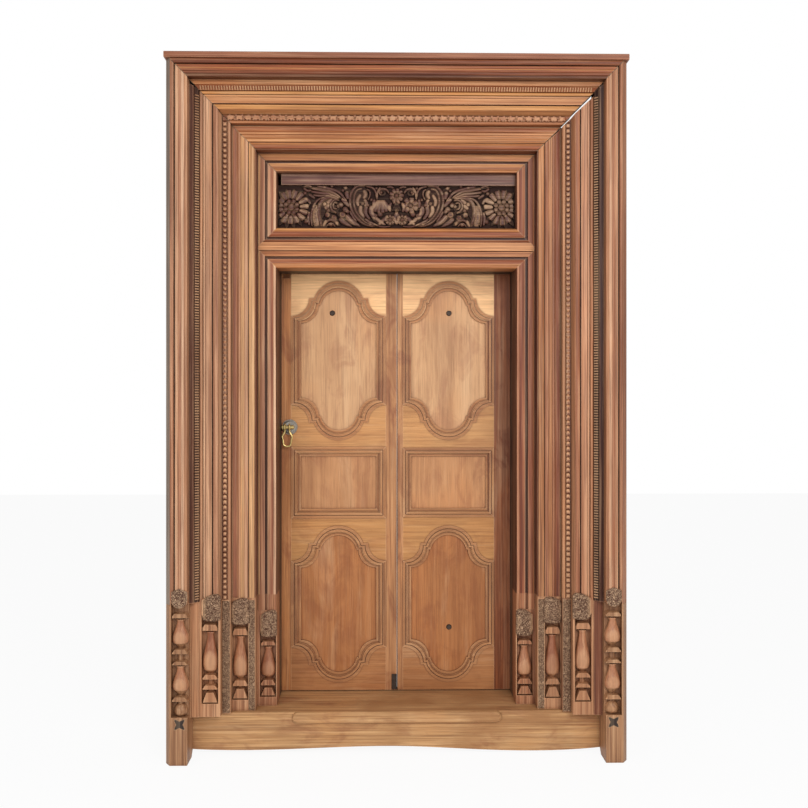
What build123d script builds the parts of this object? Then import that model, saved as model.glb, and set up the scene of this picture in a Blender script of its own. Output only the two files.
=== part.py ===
"""A carved double door of a temple hall, in its deep stepped frame.

Millimetres, +X to the right, the carved front faces -Y, +Z up. The origin is on the floor at
the middle of the frame's footprint.
"""
import os
from math import cos, radians, sin, sqrt

from build123d import *

os.makedirs("parts", exist_ok=True)

# Whole frame
total_height = 2445.0
frame_depth = 400.0
half_width = 797.0
cap_overhang = 3.0
cap_thickness = 20.0
cap_depth = 120.0
mitre_rise = 1640.0
front_y = -frame_depth / 2

# Boards of the frame: distance from the centre line of each edge, outer to inner
outer_edge = 797.0
outer_inner = 720.0
second_outer = 690.0
second_inner = 616.0
third_outer = 587.0
third_inner = 503.0
opening_half = 433.0

# Boards of the frame: depth of each moulded face and back behind the front plane
dentil_face = 38.0
second_face = 60.0
bead_face = 98.0
third_face = 125.0
inner_face = 180.0
outer_back = 105.0
bead_back = 135.0
third_back = 185.0
inner_back = 346.0

# Rear carcass
post_outer = 600.0
lining_inner = 757.0
lining_step = 160.0
lining_tops = {-1: 2390.0, 1: 2425.0}
batten_depth = 40.0
batten_height = 80.0
batten_levels = (500.0, 1200.0, 1900.0)
head_batten_places = (-350.0, 0.0, 350.0)

# Sill
sill_top = 148.0
sill_bottom = 20.0
nosing_half = 370.0
nosing_height = 40.0
nosing_bulge = 14.0

# Transom and frieze
soffit = 1727.5
transom_top = 1873.0
point_reach = 66.0
point_depth = 36.0
rebate_step = 19.5
frieze_top = 2034.0
frieze_front = 224.0
frieze_back = 262.0
frieze_centre = 85.0
backboard_front = 292.0
backboard_back = 312.0
relief = 9.0
top_board_front = 205.0
top_board_gap = 14.0

# Leaves
leaf_front = 350.0
leaf_thickness = 45.0
leaf_bottom = 151.0
leaf_top = 1744.0
leaf_outer = 460.0
panel_lap = 12.0
panel_setback = 12.0
panel_thickness = 18.0
lost_corner_depth = 21.0
inner_band_share = 0.3
inner_band_sink = 5.0
pivot_radius = 12.0
pivot_length = 34.0
pivot_clearance = 0.1

# Each leaf: centre line of its panels, half their width, and the width of the bands round them
leaves = {"left": (-217.8, 143.0, 36.0), "right": (199.0, 142.0, 31.0)}
meeting_edges = {"left": 3.7, "right": 4.2}
meeting_bevel = 1.3

# Stepped bands round the openings: outer share, inner share, rise over the leaf's face
band_steps = ((1.0, 0.72, 3.0), (0.62, 0.4, 5.0))

# Cusped openings: spring levels of both arches, and the circles of arch and lobes.
# Each growth is from the opening's own edge to the outer edge of the bands round it.
arch_levels = {"upper": (1188.0, 1613.0), "lower": (270.5, 685.0)}
middle_levels = (838.0, 1037.0)
arch_radius = 70.0
arch_growth = 28.0
crown_rise = 53.0
crown_growth = 36.0
step_level = -3.0
step_growth = 26.0
lobe_radius = 67.0

# Panels: lower and upper edge in the rebate. The rails' rear blocks fill what is left.
panel_levels = {"upper": (1123.0, 1678.0), "middle": (826.0, 1049.0), "lower": (205.5, 750.0)}

# Feet of the boards, and their half balusters
plain_base = 548.0
baluster_radius = 29.0
pad_waist = 0.42
star_size = 41.0
star_centre = 140.5
star_depth = 4.0

# Latch on the left leaf
latch_level = 1148.0
rose_place = 402.0
rose_radius = 28.5
rose_thickness = 7.0
post_place = 391.0
post_radius = 7.0
latch_standoff = 22.0
bar_start = 430.0
bar_end = 384.0
bar_radius = 6.5
collar_radius = 10.0
collar_length = 6.0
wire_radius = 3.5
wire_sides = 8
bail_turn = 11.0
eye_clearance = 0.1
bail_eyes = (-419.0, -402.0)
bail_top = 37.0
bail_bottom = 24.0
bail_drop = 72.0

# Fixings
bolt_radius = 10.5
bolt_shank = 5.0
bolt_clearance = 0.05
bolt_places = {"left": ((-242.0, 1580.7),), "right": ((201.5, 1580.7), (201.5, 386.0))}
plate_width = 19.0
plate_height = 57.0
plate_thickness = 3.0

pivot_y = front_y + leaf_front + leaf_thickness / 2
pivot_place = leaf_outer - leaf_thickness / 2
bar_y = front_y + leaf_front - latch_standoff


def depth(amount):
    """Y of a place this far behind the front plane."""
    return front_y + amount


def block(left, right, low, high, front, back):
    """A plain box by its edges, depths behind the front plane."""
    with Locations(((left + right) / 2, depth((front + back) / 2), (low + high) / 2)):
        Box(right - left, back - front, high - low)


def jamb_plane(side, level=0.0):
    """Section plane of an upright: x runs outward on this side, y runs back."""
    return Plane(origin=(0, front_y, level), x_dir=(side, 0, 0), z_dir=(0, 0, side))


def head_plane():
    """Section plane of a head: x runs up from the mitre's origin, y runs back."""
    return Plane(origin=(0, front_y, mitre_rise), x_dir=(0, 0, 1), z_dir=(-1, 0, 0))


def front_plane(back):
    """Plane facing the front, this far behind the front plane: x right, y up."""
    return Plane(origin=(0, depth(back), 0), x_dir=(1, 0, 0), z_dir=(0, -1, 0))


def mitre_plane(side, drop=0.0, open_angle=0.0):
    """Plane of the corner mitre on this side, its normal up and towards the centre."""
    tilt = radians(45 + open_angle)
    corner = Vector(side * third_inner, 0, mitre_rise + third_inner - drop)
    return Plane(origin=corner, x_dir=(0, 1, 0), z_dir=(-side * cos(tilt), 0, sin(tilt)))


def draw_face(path):
    """Lines, round beads and hollow coves through a path of (kind, place, depth, swell)."""
    here = path[0][1:3]
    for kind, place, back, *swell in path[1:]:
        there = (place, back)
        if kind == "line":
            Line(here, there)
        else:
            rise = swell[0] if kind == "bead" else -swell[0]
            middle = ((here[0] + place) / 2, (here[1] + back) / 2 - rise)
            ThreePointArc(here, middle, there)
        here = there


def closed_section(plane, path, back):
    """A board's section: its moulded face, closed along a straight back."""
    with BuildSketch(plane) as section:
        with BuildLine():
            draw_face(path)
            Polyline(path[-1][1:3], (path[-1][1], back), (path[0][1], back), path[0][1:3])
        make_face()
    return section.sketch


def outer_path():
    """Face of the outermost board: outer bevel, bead, quirk and four reeds."""
    reed = (761.5 - outer_inner) / 4
    path = [("line", outer_edge, 30), ("line", 780, 7), ("bead", 766, 7, 5)]
    path += [("line", 765, 13), ("line", 761.5, 13), ("line", 761.5, 4)]
    path += [("bead", 761.5 - reed * count, 4, 2) for count in (1, 2, 3, 4)]
    return path


def dentil_path():
    """Narrow flat, then the sloped strip that carries the fine cross cuts."""
    return [("line", outer_inner, dentil_face), ("line", 705, dentil_face),
            ("line", 703, 46), ("line", second_outer, 58)]


def second_path():
    """Second board: edge bead, wide flat, deep quirk and fillet."""
    return [("line", second_outer, 66), ("bead", 677, 66, 6), ("line", 676, 70),
            ("line", 674.5, 70), ("line", 674.5, 61), ("line", 668, 61), ("line", 667, 63),
            ("line", 666, 61), ("line", 645.5, 61), ("line", 645.5, 71), ("line", 641.5, 71),
            ("line", 641.5, 63), ("bead", 625, 62, 2), ("cove", second_inner, 99, 3)]


def bead_path():
    """Strip behind the second board: seat of the bead row and a narrow round."""
    return [("line", second_inner, 101), ("line", 598, 101), ("line", 598, 99),
            ("bead", third_outer, 100, 2)]


def third_path():
    """Third board: cove, fillet, flat, small bead and the broad inner round."""
    return [("line", third_outer, 129), ("line", 584, 129), ("line", 584, 125),
            ("cove", 562, 127, 6), ("line", 562, 125), ("line", 556, 125),
            ("line", 555, 129), ("line", 543, 128), ("bead", 529, 128, 4),
            ("line", 528.5, 131), ("line", 526.5, 131), ("line", 526.5, 128),
            ("bead", 506, 128, 4), ("line", 505, 132), ("line", third_inner, 132)]


def inner_path():
    """Innermost board: flat strip, deep quirk, hollow strip and the bead at the opening."""
    return [("line", third_inner, 184), ("line", 499.5, 184), ("line", 499.5, inner_face),
            ("bead", 476, inner_face, 1.5), ("line", 475, 191), ("line", 467, 191),
            ("line", 466, 181), ("cove", 446, 183, 2), ("bead", 435, 183, 4),
            ("line", opening_half, 187)]


def upright(side, path, back, bottom, top):
    """A straight moulded length on one side of the frame."""
    return extrude(closed_section(jamb_plane(side, bottom), path, back), amount=side * (top - bottom))


def keep_below(side, drop=0.0, open_angle=0.0):
    """Cut the top of an upright to the corner mitre."""
    split(bisect_by=mitre_plane(side, drop, open_angle), keep=Keep.BOTTOM)


def draw_baluster(members, radius):
    """Half outline of a baluster's turned parts, closed along the plane's y axis."""
    core = 0.36 * radius
    here = (0, members[0][1])
    for kind, top, bottom in members:
        height = top - bottom
        Line(here, (core, top))
        if kind == "vase":
            collar = (0.55 * radius, top - 5)
            Polyline((core, top), (0.55 * radius, top), collar, (core, top - 5))
            Spline((core, top - 5), (0.68 * radius, top - 0.45 * height),
                   (0.97 * radius, top - 0.75 * height), (0.8 * radius, bottom))
            here = (0.8 * radius, bottom)
        elif kind == "drop":
            Spline((core, top), (0.8 * radius, top - 0.4 * height), (0.8 * radius, top - 0.75 * height),
                   (0.4 * radius, bottom))
            here = (0.4 * radius, bottom)
        else:
            here = (core, bottom)
            Line((core, top), here)
    Polyline(here, (0, here[1]), (0, members[0][1]))


def slab_outline(kind, place, top, bottom, radius):
    """Front view of a square member: sloped shoulders over a full width lower edge."""
    narrow, slope = {"abacus": (0.72, 0.5), "disc": (0.62, 0.62), "cone": (0.5, 0.92)}[kind]
    knee = top - (top - bottom) * slope
    with BuildSketch() as outline:
        with BuildLine():
            Polyline((place - narrow * radius, top), (place + narrow * radius, top),
                     (place + radius, knee), (place + radius, bottom), (place - radius, bottom),
                     (place - radius, knee), close=True)
        make_face()
    return outline.sketch


outer_members = (("abacus", 521, 501), ("vase", 498, 416), ("disc", 400, 378), ("disc", 358, 340),
                 ("vase", 338, 255), ("disc", 236, 215), ("drop", 208, 164))
second_members = (("abacus", 471, 444), ("vase", 442, 308), ("disc", 296, 274), ("disc", 259, 239),
                  ("cone", 234, 194))
third_members = (("abacus", 441, 412), ("vase", 410, 271), ("disc", 257, 231), ("cone", 227, 187))
inner_members = (("abacus", 381, 361), ("vase", 358, 255), ("disc", 242, 217), ("cone", 214, 180))


def pad_outline(place, bottom, top, radius):
    """Leaf shaped pad over a baluster: rounded foot, straight sides and a peaked head."""
    waist = bottom + pad_waist * (top - bottom)
    with BuildSketch() as outline:
        with BuildLine():
            ThreePointArc((place - radius, waist), (place, bottom), (place + radius, waist))
            Polyline((place + radius, waist), (place + radius, top - 12), (place, top),
                     (place - radius, top - 12), (place - radius, waist))
        make_face()
    return outline.sketch


def carve_foot(side, place, face, members, pad_bottom, pad_top, floor_level, proud=8.0):
    """Sink a bay into a board's plain foot, stand a half baluster in it and cap it with a pad."""
    radius = baluster_radius
    bay_back = face + radius
    bay_top = pad_bottom + pad_waist * (pad_top - pad_bottom)
    pad_shape = pad_outline(side * place, pad_bottom, pad_top, radius)
    with BuildSketch(front_plane(0)) as bay:
        with Locations((side * place, (bay_top + floor_level) / 2)):
            Rectangle(2 * radius, bay_top - floor_level)
        add(pad_shape, mode=Mode.SUBTRACT)
    extrude(bay.sketch, amount=-bay_back, mode=Mode.SUBTRACT)
    axis_place = (side * place, depth(bay_back), 0)
    with BuildSketch(Plane(origin=axis_place, x_dir=(1, 0, 0), z_dir=(0, -1, 0))) as outline:
        with BuildLine():
            draw_baluster(members, radius)
        make_face()
    revolve(outline.sketch, axis=Axis(axis_place, (0, 0, -1)), revolution_arc=180)
    for kind, top, bottom in members:
        if kind in ("abacus", "disc", "cone"):
            slab_shape = slab_outline(kind, side * place, top, bottom, radius)
            with BuildSketch(front_plane(bay_back + 1)) as slab:
                add(slab_shape)
            extrude(slab.sketch, amount=0.9 * radius + 1, taper=7)
    with BuildSketch(front_plane(face + 4)) as pad:
        add(pad_shape)
    extrude(pad.sketch, amount=4 + proud, taper=12)


def plain_path(outer, inner, face):
    """Flat face of a board's foot."""
    return [("line", outer, face), ("line", inner, face)]


def foot_path():
    """Flat face of the outermost board's foot, with the outer bevel running on."""
    return [("line", outer_edge, 30), ("line", 780, 4), ("line", outer_inner, 4)]


def make_outer_jamb(side):
    """Outermost board, running down past the sill as a worn foot."""
    with BuildPart() as jamb:
        upright(side, outer_path(), outer_back, plain_base, total_height - cap_thickness)
        keep_below(side, drop=0.0)
        upright(side, foot_path(), outer_back, 0, plain_base)
        carve_foot(side, 746, 4, outer_members, 538, 608, 164, proud=4)
        with BuildSketch(front_plane(0)):
            with Locations((side * 746, star_centre)):
                add(star_outline())
        extrude(amount=-(4 + star_depth), mode=Mode.SUBTRACT)
        rear_toe = jamb.edges().filter_by(Axis.X).group_by(Axis.Z)[0].sort_by(Axis.Y)[-1]
        chamfer(rear_toe, 22)
    return jamb


def star_outline():
    """Four pointed petals about a small centre, from crossing lens shapes."""
    half = star_size / 2
    with BuildSketch() as star:
        for turn in (45, 135):
            with BuildLine():
                tip = half * sqrt(2) * 0.92
                first = Vector(tip, 0).rotate(Axis.Z, turn)
                last = Vector(-tip, 0).rotate(Axis.Z, turn)
                side_point = Vector(0, half * 0.42).rotate(Axis.Z, turn)
                ThreePointArc(first, side_point, last)
                ThreePointArc(last, -side_point, first)
            make_face()
    return star.sketch


def make_star(side):
    """Dark inlay set flush in the outermost board's foot."""
    with BuildPart() as star:
        with BuildSketch(front_plane(4 + star_depth)):
            with Locations((side * 746, star_centre)):
                add(star_outline())
        extrude(amount=star_depth + 0.5)
    return star


def make_dentil_jamb(side, short):
    """Strip between the outermost and second boards, plain below the leaf pads."""
    with BuildPart() as strip:
        upright(side, dentil_path(), outer_back, plain_base, 2400)
        slope = radians(45 - short)
        corner = (side * second_outer, 0, mitre_rise + second_outer)
        split(bisect_by=Plane(origin=corner, x_dir=(0, 1, 0), z_dir=(-side * sin(slope), 0, cos(slope))),
              keep=Keep.BOTTOM)
        upright(side, plain_path(outer_inner, second_outer, 57), outer_back, sill_top, plain_base)
    return strip


def make_second_jamb(side, drop, open_angle):
    """Second board, its foot hanging in front of the sill."""
    with BuildPart() as jamb:
        upright(side, second_path(), outer_back, plain_base, 2400)
        keep_below(side, drop, open_angle)
        upright(side, plain_path(second_outer, second_inner, 61), outer_back, sill_top, plain_base)
        carve_foot(side, 652.5, 61, second_members, 483, 570, 193)
    return jamb


def bead_row(place, face, start, end, pitch, plane_x, width):
    """A bar of beads: a row of flat crests parted by V cuts, drawn along its length."""
    count = int((end - start) / pitch)
    crest = pitch * 0.55
    back = face + 9
    with BuildSketch(plane_x) as row:
        with BuildLine():
            points = [(start, back)]
            for step in range(count):
                foot = start + step * pitch
                points += [(foot, face + 6), (foot + (pitch - crest) / 2, face),
                           (foot + (pitch + crest) / 2, face)]
            points += [(start + count * pitch, face + 6), (start + count * pitch, back)]
            Polyline(*points, close=True)
        make_face()
    return extrude(row.sketch, amount=width / 2, both=True, mode=Mode.ADD)


def make_bead_jamb(side, drop, open_angle):
    """Strip with the row of small beads, flat and stippled at its foot."""
    centre = 605.5
    with BuildPart() as strip:
        upright(side, bead_path(), bead_back, plain_base, 2350)
        side_plane = Plane(origin=(side * centre, front_y, 0), x_dir=(0, 0, 1), z_dir=(-1, 0, 0))
        bead_row(centre, 92, plain_base, 2300, 18.5, side_plane, 12)
        keep_below(side, drop, open_angle)
        upright(side, plain_path(second_inner, third_outer, 96), bead_back, sill_top, plain_base)
    return strip


def make_third_jamb(side, drop, open_angle):
    """Third board, with a stippled strip beside its baluster."""
    with BuildPart() as jamb:
        upright(side, third_path(), third_back, plain_base, 2300)
        keep_below(side, drop, open_angle)
        upright(side, plain_path(third_outer, third_inner, 127), third_back, sill_top, plain_base)
        carve_foot(side, 557.5, 127, third_members, 456, 541, 186)
    return jamb


def point_outline(side):
    """The transom's pointed end as it is let into the innermost board."""
    reach = opening_half + point_reach
    return [(side * opening_half, transom_top), (side * reach, transom_top - point_reach),
            (side * reach, soffit + point_reach), (side * opening_half, soffit)]


def make_inner_jamb(side):
    """Innermost board, the side of the doorway, notched for the transom's point."""
    foot_level = 492.0
    with BuildPart() as jamb:
        upright(side, inner_path(), inner_back, foot_level, 2250)
        keep_below(side)
        upright(side, plain_path(third_inner, opening_half, 182), inner_back, sill_top, foot_level)
        carve_foot(side, 465, 182, inner_members, 397, 488, 179)
        with BuildSketch(front_plane(inner_face + point_depth)):
            with BuildLine():
                Polyline(*point_outline(side), close=True)
            make_face()
        extrude(amount=point_depth + 10, mode=Mode.SUBTRACT)
    return jamb


def make_head(path, back, half_length):
    """A head board with the same face as its jambs, mitred at both corners."""
    with BuildPart() as head:
        extrude(closed_section(head_plane(), path, back), amount=half_length, both=True)
        for side in (-1, 1):
            split(bisect_by=mitre_plane(side), keep=Keep.TOP)
    return head


def make_outer_head():
    """Head of the outermost frame; its upper edge stops under the cap."""
    top = total_height - cap_thickness - mitre_rise
    path = [("line", top, 20), ("line", top, 7)] + outer_path()[2:]
    path[2] = ("bead", 766, 7, 5)
    return make_head(path, outer_back, half_width)


def make_bead_head():
    """Head strip with its row of leaf bosses."""
    centre = 605.5
    with BuildPart() as head:
        extrude(closed_section(head_plane(), bead_path(), bead_back), amount=700, both=True)
        row_plane = Plane(origin=(0, front_y, mitre_rise + centre), x_dir=(1, 0, 0), z_dir=(0, 0, 1))
        bead_row(centre, 92, -600, 600, 30, row_plane, 12)
        for side in (-1, 1):
            split(bisect_by=mitre_plane(side), keep=Keep.TOP)
    return head


def make_rear_post(side):
    """Deep structural post behind the third board, standing on the sill."""
    path = plain_path(post_outer, third_inner, third_back)
    with BuildPart() as post:
        upright(side, path, frame_depth, sill_top, 2300)
        keep_below(side)
    return post


def make_lining(side):
    """Plain side lining of the frame, which runs to the floor as its rear foot."""
    with BuildPart() as lining:
        upright(side, plain_path(outer_edge, lining_inner, outer_back), frame_depth, 0, lining_tops[side])
        with Locations((side * (outer_edge + lining_inner) / 2, depth(lining_step / 2), 0)):
            Box(outer_edge - lining_inner + 2, lining_step, 2 * sill_bottom, mode=Mode.SUBTRACT)
    return lining


def make_battens(side):
    """Cross battens that back the wide boards on one side."""
    width = lining_inner - second_inner
    with BuildPart() as battens:
        for level in batten_levels:
            with Locations((side * (second_inner + width / 2), depth(outer_back), level)):
                Box(width, batten_depth, batten_height,
                    align=(Align.CENTER, Align.MIN, Align.CENTER))
    return battens


def make_head_battens():
    """Upright battens that back the wide head boards."""
    low = mitre_rise + second_inner
    height = total_height - cap_thickness - low
    with BuildPart() as battens:
        for place in head_batten_places:
            with Locations((place, depth(outer_back), low)):
                Box(batten_height, batten_depth, height, align=(Align.CENTER, Align.MIN, Align.MIN))
    return battens


def make_cap():
    """Thin board over the front of the frame."""
    with BuildPart() as cap:
        with Locations((0, front_y, total_height)):
            Box(2 * (half_width + cap_overhang), cap_depth, cap_thickness,
                align=(Align.CENTER, Align.MIN, Align.MAX))
        chamfer(cap.edges().filter_by(Axis.X).sort_by(Axis.Y)[:2], 2)
    return cap


def make_sill():
    """Heavy sill with a worn lower edge, a rounded raised nosing and the pivot sockets."""
    with BuildPart() as sill:
        with BuildSketch(front_plane(outer_back)):
            with BuildLine():
                Spline((-lining_inner, 23), (-420, 17), (30, 26), (250, 15), (lining_inner, 22))
                Polyline((lining_inner, 22), (lining_inner, sill_top), (-lining_inner, sill_top),
                         (-lining_inner, 23))
            make_face()
        extrude(amount=-(frame_depth - outer_back))
        front_edge = sill.edges().filter_by(Axis.X).group_by(Axis.Z)[-1].sort_by(Axis.Y)[0]
        chamfer(front_edge, 5)
        with BuildSketch(front_plane(outer_back + 6)):
            with Locations((0, sill_top - nosing_height / 2 + 2)):
                SlotOverall(2 * nosing_half, nosing_height)
        extrude(amount=nosing_bulge + 6)
        crest = sill.faces().sort_by(Axis.Y)[0]
        fillet(crest.edges(), 9)
        for side in (-1, 1):
            with Locations(Plane(origin=(side * pivot_place, pivot_y, sill_top))):
                Hole(pivot_radius + pivot_clearance, depth=pivot_length + 1)
    return sill


def transom_path():
    """Front of the transom: the doorway's moulding on both edges, and a flat between."""
    up = [("line", soffit, 187), ("line", soffit + 2, 183), ("bead", soffit + 13, 183, 4),
          ("cove", soffit + 33, 181, 2), ("line", soffit + 34, 191), ("line", soffit + 42, 191),
          ("line", soffit + 43, inner_face), ("line", soffit + 60, inner_face),
          ("line", soffit + 62, 183), ("line", soffit + 64, 178)]
    down = [("line", transom_top - 52, 178), ("line", transom_top - 50, 184),
            ("line", transom_top - 43, inner_face), ("line", transom_top - 42, 191),
            ("line", transom_top - 34, 191), ("line", transom_top - 33, 181),
            ("cove", transom_top - 13, 183, 2), ("bead", transom_top - 2, 183, 4),
            ("line", transom_top, 187)]
    return up + down


def make_transom():
    """Transom over the leaves, its pointed front let into the jambs, with the top sockets."""
    plane = Plane(origin=(0, front_y, 0), x_dir=(0, 0, 1), z_dir=(-1, 0, 0))
    reach = opening_half + point_reach
    with BuildPart() as transom:
        extrude(closed_section(plane, transom_path(), inner_face + point_depth), amount=reach,
                both=True)
        with BuildSketch(front_plane(0)):
            with BuildLine():
                Polyline(*point_outline(1), *reversed(point_outline(-1)), close=True)
            make_face()
        extrude(amount=-frame_depth, mode=Mode.INTERSECT)
        middle = (soffit + transom_top) / 2
        bar_depth = inner_back - inner_face - point_depth
        with Locations((0, depth(inner_face + point_depth + bar_depth / 2), middle)):
            Box(2 * opening_half, bar_depth, transom_top - soffit)
        low = soffit + rebate_step
        with Locations((0, depth((inner_back + frame_depth) / 2), (low + transom_top) / 2)):
            Box(2 * third_inner, frame_depth - inner_back, transom_top - low)
        for side in (-1, 1):
            socket = Plane(origin=(side * pivot_place, pivot_y, low), x_dir=(1, 0, 0),
                           z_dir=(0, 0, -1))
            with Locations(socket):
                Hole(pivot_radius + pivot_clearance, depth=pivot_length + 1)
    return transom


def petal(start, end, width):
    """A petal or leaf between two tips, fullest past its middle."""
    tip = Vector(*end) - Vector(*start)
    across = Vector(-tip.Y, tip.X).normalized() * width / 2
    swell = Vector(*start) + tip * 0.6
    with BuildSketch() as shape:
        with BuildLine():
            ThreePointArc(start, swell + across, end)
            ThreePointArc(end, swell - across, start)
        make_face()
    return shape.sketch


def curl(outer, inner):
    """A curved frond between an outer and an inner run of points that meet at both tips."""
    with BuildSketch() as shape:
        with BuildLine():
            Spline(*outer)
            Spline(outer[-1], *inner, outer[0])
        make_face()
    return shape.sketch


def flower(centre, inner, outer, count, width):
    """A ring of petals about a button."""
    with BuildSketch() as shape:
        for turn in range(count):
            angle = radians(360 / count * (turn + 0.5))
            near = (centre[0] + inner * cos(angle), centre[1] + inner * sin(angle))
            far = (centre[0] + outer * cos(angle), centre[1] + outer * sin(angle))
            add(petal(near, far, width))
        with Locations(centre):
            Circle(inner * 0.8)
    return shape.sketch


def frieze_half():
    """Relief of the frieze right of its centre: big daisy, feathers, tendril and frond."""
    daisy = (388, -9)
    with BuildSketch() as half:
        add(flower(daisy, 34, 74, 16, 13))
        with Locations(daisy):
            Circle(29, mode=Mode.SUBTRACT)
        add(flower(daisy, 13, 30, 8, 11))
        add(curl(((350, 71), (271, 66), (179, 15)), ((262, 50),)))
        add(curl(((208, 30), (246, 42), (297, -9), (310, -62)), ((262, -24), (240, 22))))
        with Locations((230, -2)):
            Circle(22)
            Circle(15, mode=Mode.SUBTRACT)
            Circle(9)
        add(curl(((122, 74), (172, 29), (157, -28), (98, -74)), ((118, -14), (106, 50))))
        add(petal((258, -20), (206, -71), 19))
        add(petal((222, -18), (150, -70), 21))
        add(petal((196, 72), (160, 44), 14))
        add(petal((92, -38), (44, -70), 17))
        with Locations((278, -72)):
            Circle(24)
        with Locations((52, 50)):
            Circle(12)
            Circle(6, mode=Mode.SUBTRACT)
        with Locations((22, -52)):
            Ellipse(19, 17)
    return half.sketch


def make_frieze():
    """Carved board over the transom, its flowers and fronds mirrored about the centre."""
    height = frieze_top - transom_top
    middle = transom_top + frieze_centre
    face = Plane(origin=(0, depth(frieze_front), middle), x_dir=(1, 0, 0), z_dir=(0, -1, 0))
    half = frieze_half()
    with BuildPart() as frieze:
        block(-opening_half, opening_half, transom_top, frieze_top, frieze_front, frieze_back)
        with BuildSketch(face):
            add(half)
            add(mirror(half, about=Plane.YZ, mode=Mode.PRIVATE))
            add(flower((0, 36), 9, 24, 8, 11))
            add(flower((57, 0), 8, 27, 6, 15))
            with Locations((0, -2)):
                Trapezoid(34, 26, 115, rotation=180)
            with Locations((0, height / 2 - frieze_centre)):
                Rectangle(2 * opening_half, height, mode=Mode.INTERSECT)
        extrude(amount=relief)
        with BuildSketch(face):
            with Locations((-57, 0)):
                Circle(26)
        extrude(amount=relief - 4)
    return frieze


def make_top_board():
    """Plain board between the carved board and the head, short of the left jamb."""
    with BuildPart() as board:
        block(-opening_half + top_board_gap, opening_half, frieze_top, mitre_rise + opening_half,
              top_board_front, frieze_back)
    return board


def make_backboard():
    """Plain board closing the recess behind the carved frieze."""
    top = mitre_rise + opening_half
    with BuildPart() as board:
        with Locations((0, depth((backboard_front + backboard_back) / 2), (transom_top + top) / 2)):
            Box(2 * opening_half, backboard_back - backboard_front, top - transom_top)
    return board


def cusped_outline(half, band, low, high, share):
    """A panel opening with a cusped arch at each end; share 1 is its band's outer edge."""
    side_x = half + band * share
    arch = arch_radius + arch_growth * share
    crown = crown_rise + crown_growth * share
    step = step_level + step_growth * share
    centre_rise = crown - arch
    spring = sqrt(arch**2 - (step - centre_rise) ** 2)
    shoulder = side_x - lobe_radius
    bulge_x = side_x - lobe_radius * cos(radians(45))
    bulge_rise = step - lobe_radius * sin(radians(45))
    with BuildSketch() as outline:
        with BuildLine():
            for way, level in ((1, high), (-1, low)):
                corner = level + way * (step - lobe_radius)
                ledge = level + way * step
                for hand in (-1, 1):
                    ThreePointArc((hand * side_x, corner), (hand * bulge_x, level + way * bulge_rise),
                                  (hand * shoulder, ledge))
                    Line((hand * shoulder, ledge), (hand * spring, ledge))
                ThreePointArc((-spring, ledge), (0, level + way * crown), (spring, ledge))
            for hand in (-1, 1):
                Line((hand * side_x, low - step + lobe_radius), (hand * side_x, high + step - lobe_radius))
        make_face()
    return outline.sketch


def square_outline(half, band, low, high, share):
    """The plain middle panel's opening; share 1 is its band's outer edge."""
    grow = band * share
    with BuildSketch() as outline:
        with Locations((0, (low + high) / 2)):
            Rectangle(2 * (half + grow), high - low + 2 * grow)
    return outline.sketch


def opening_outlines(leaf, share):
    """All three openings of one leaf, from the leaf's panel centre line."""
    _, half, band = leaves[leaf]
    with BuildSketch() as outlines:
        add(cusped_outline(half, band, *arch_levels["upper"], share))
        add(square_outline(half, band, *middle_levels, share))
        add(cusped_outline(half, band, *arch_levels["lower"], share))
    return outlines.sketch


def rail_outlines(leaf):
    """Faces of the four rails, mitred at their corners where the bands turn."""
    _, half, band = leaves[leaf]
    wide = half + band
    inner = lobe_radius - step_level
    outer = lobe_radius - step_level - step_growth
    upper_low, upper_high = arch_levels["upper"]
    lower_low, lower_high = arch_levels["lower"]
    middle_low, middle_high = middle_levels
    faces = {
        "top": ((leaf_top, leaf_top), (upper_high - outer, upper_high - inner)),
        "lock": ((upper_low + outer, upper_low + inner), (middle_high + band, middle_high)),
        "middle": ((middle_low - band, middle_low), (lower_high - outer, lower_high - inner)),
        "bottom": ((lower_low + outer, lower_low + inner), (leaf_bottom, leaf_bottom)),
    }
    outlines = {}
    for name, ((high_out, high_in), (low_out, low_in)) in faces.items():
        with BuildSketch() as face:
            with BuildLine():
                Polyline((wide, high_out), (half, high_in), (-half, high_in), (-wide, high_out),
                         (-wide, low_out), (-half, low_in), (half, low_in), (wide, low_out), close=True)
            make_face()
        outlines[name] = face.sketch
    return outlines


def leaf_member(leaf, outline, rear):
    """A stile or rail: face cut to the openings, stepped bands round them, and its rear block."""
    centre = leaves[leaf][0]
    rebate = leaf_front + panel_setback
    face = Plane(origin=(centre, depth(leaf_front), 0), x_dir=(1, 0, 0), z_dir=(0, -1, 0))
    with BuildPart() as member:
        with BuildSketch(face):
            add(outline)
            add(opening_outlines(leaf, 0), mode=Mode.SUBTRACT)
        extrude(amount=-panel_setback)
        for outer_share, inner_share, rise in band_steps:
            with BuildSketch(face):
                add(opening_outlines(leaf, outer_share))
                add(opening_outlines(leaf, inner_share), mode=Mode.SUBTRACT)
                add(outline, mode=Mode.INTERSECT)
            extrude(amount=rise)
        with BuildSketch(face):
            add(opening_outlines(leaf, inner_band_share))
            add(outline, mode=Mode.INTERSECT)
        extrude(amount=-inner_band_sink, mode=Mode.SUBTRACT)
        block(*rear, rebate, leaf_front + leaf_thickness)
    return member.part


def stile_outline(leaf, inner, outer):
    """Face of a stile between two distances from the panels' centre, cut round the rails."""
    with BuildSketch() as face:
        with Locations(((inner + outer) / 2, (leaf_bottom + leaf_top) / 2)):
            Rectangle(abs(outer - inner), leaf_top - leaf_bottom)
        for rail in rail_outlines(leaf).values():
            add(rail, mode=Mode.SUBTRACT)
    return face.sketch


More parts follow.
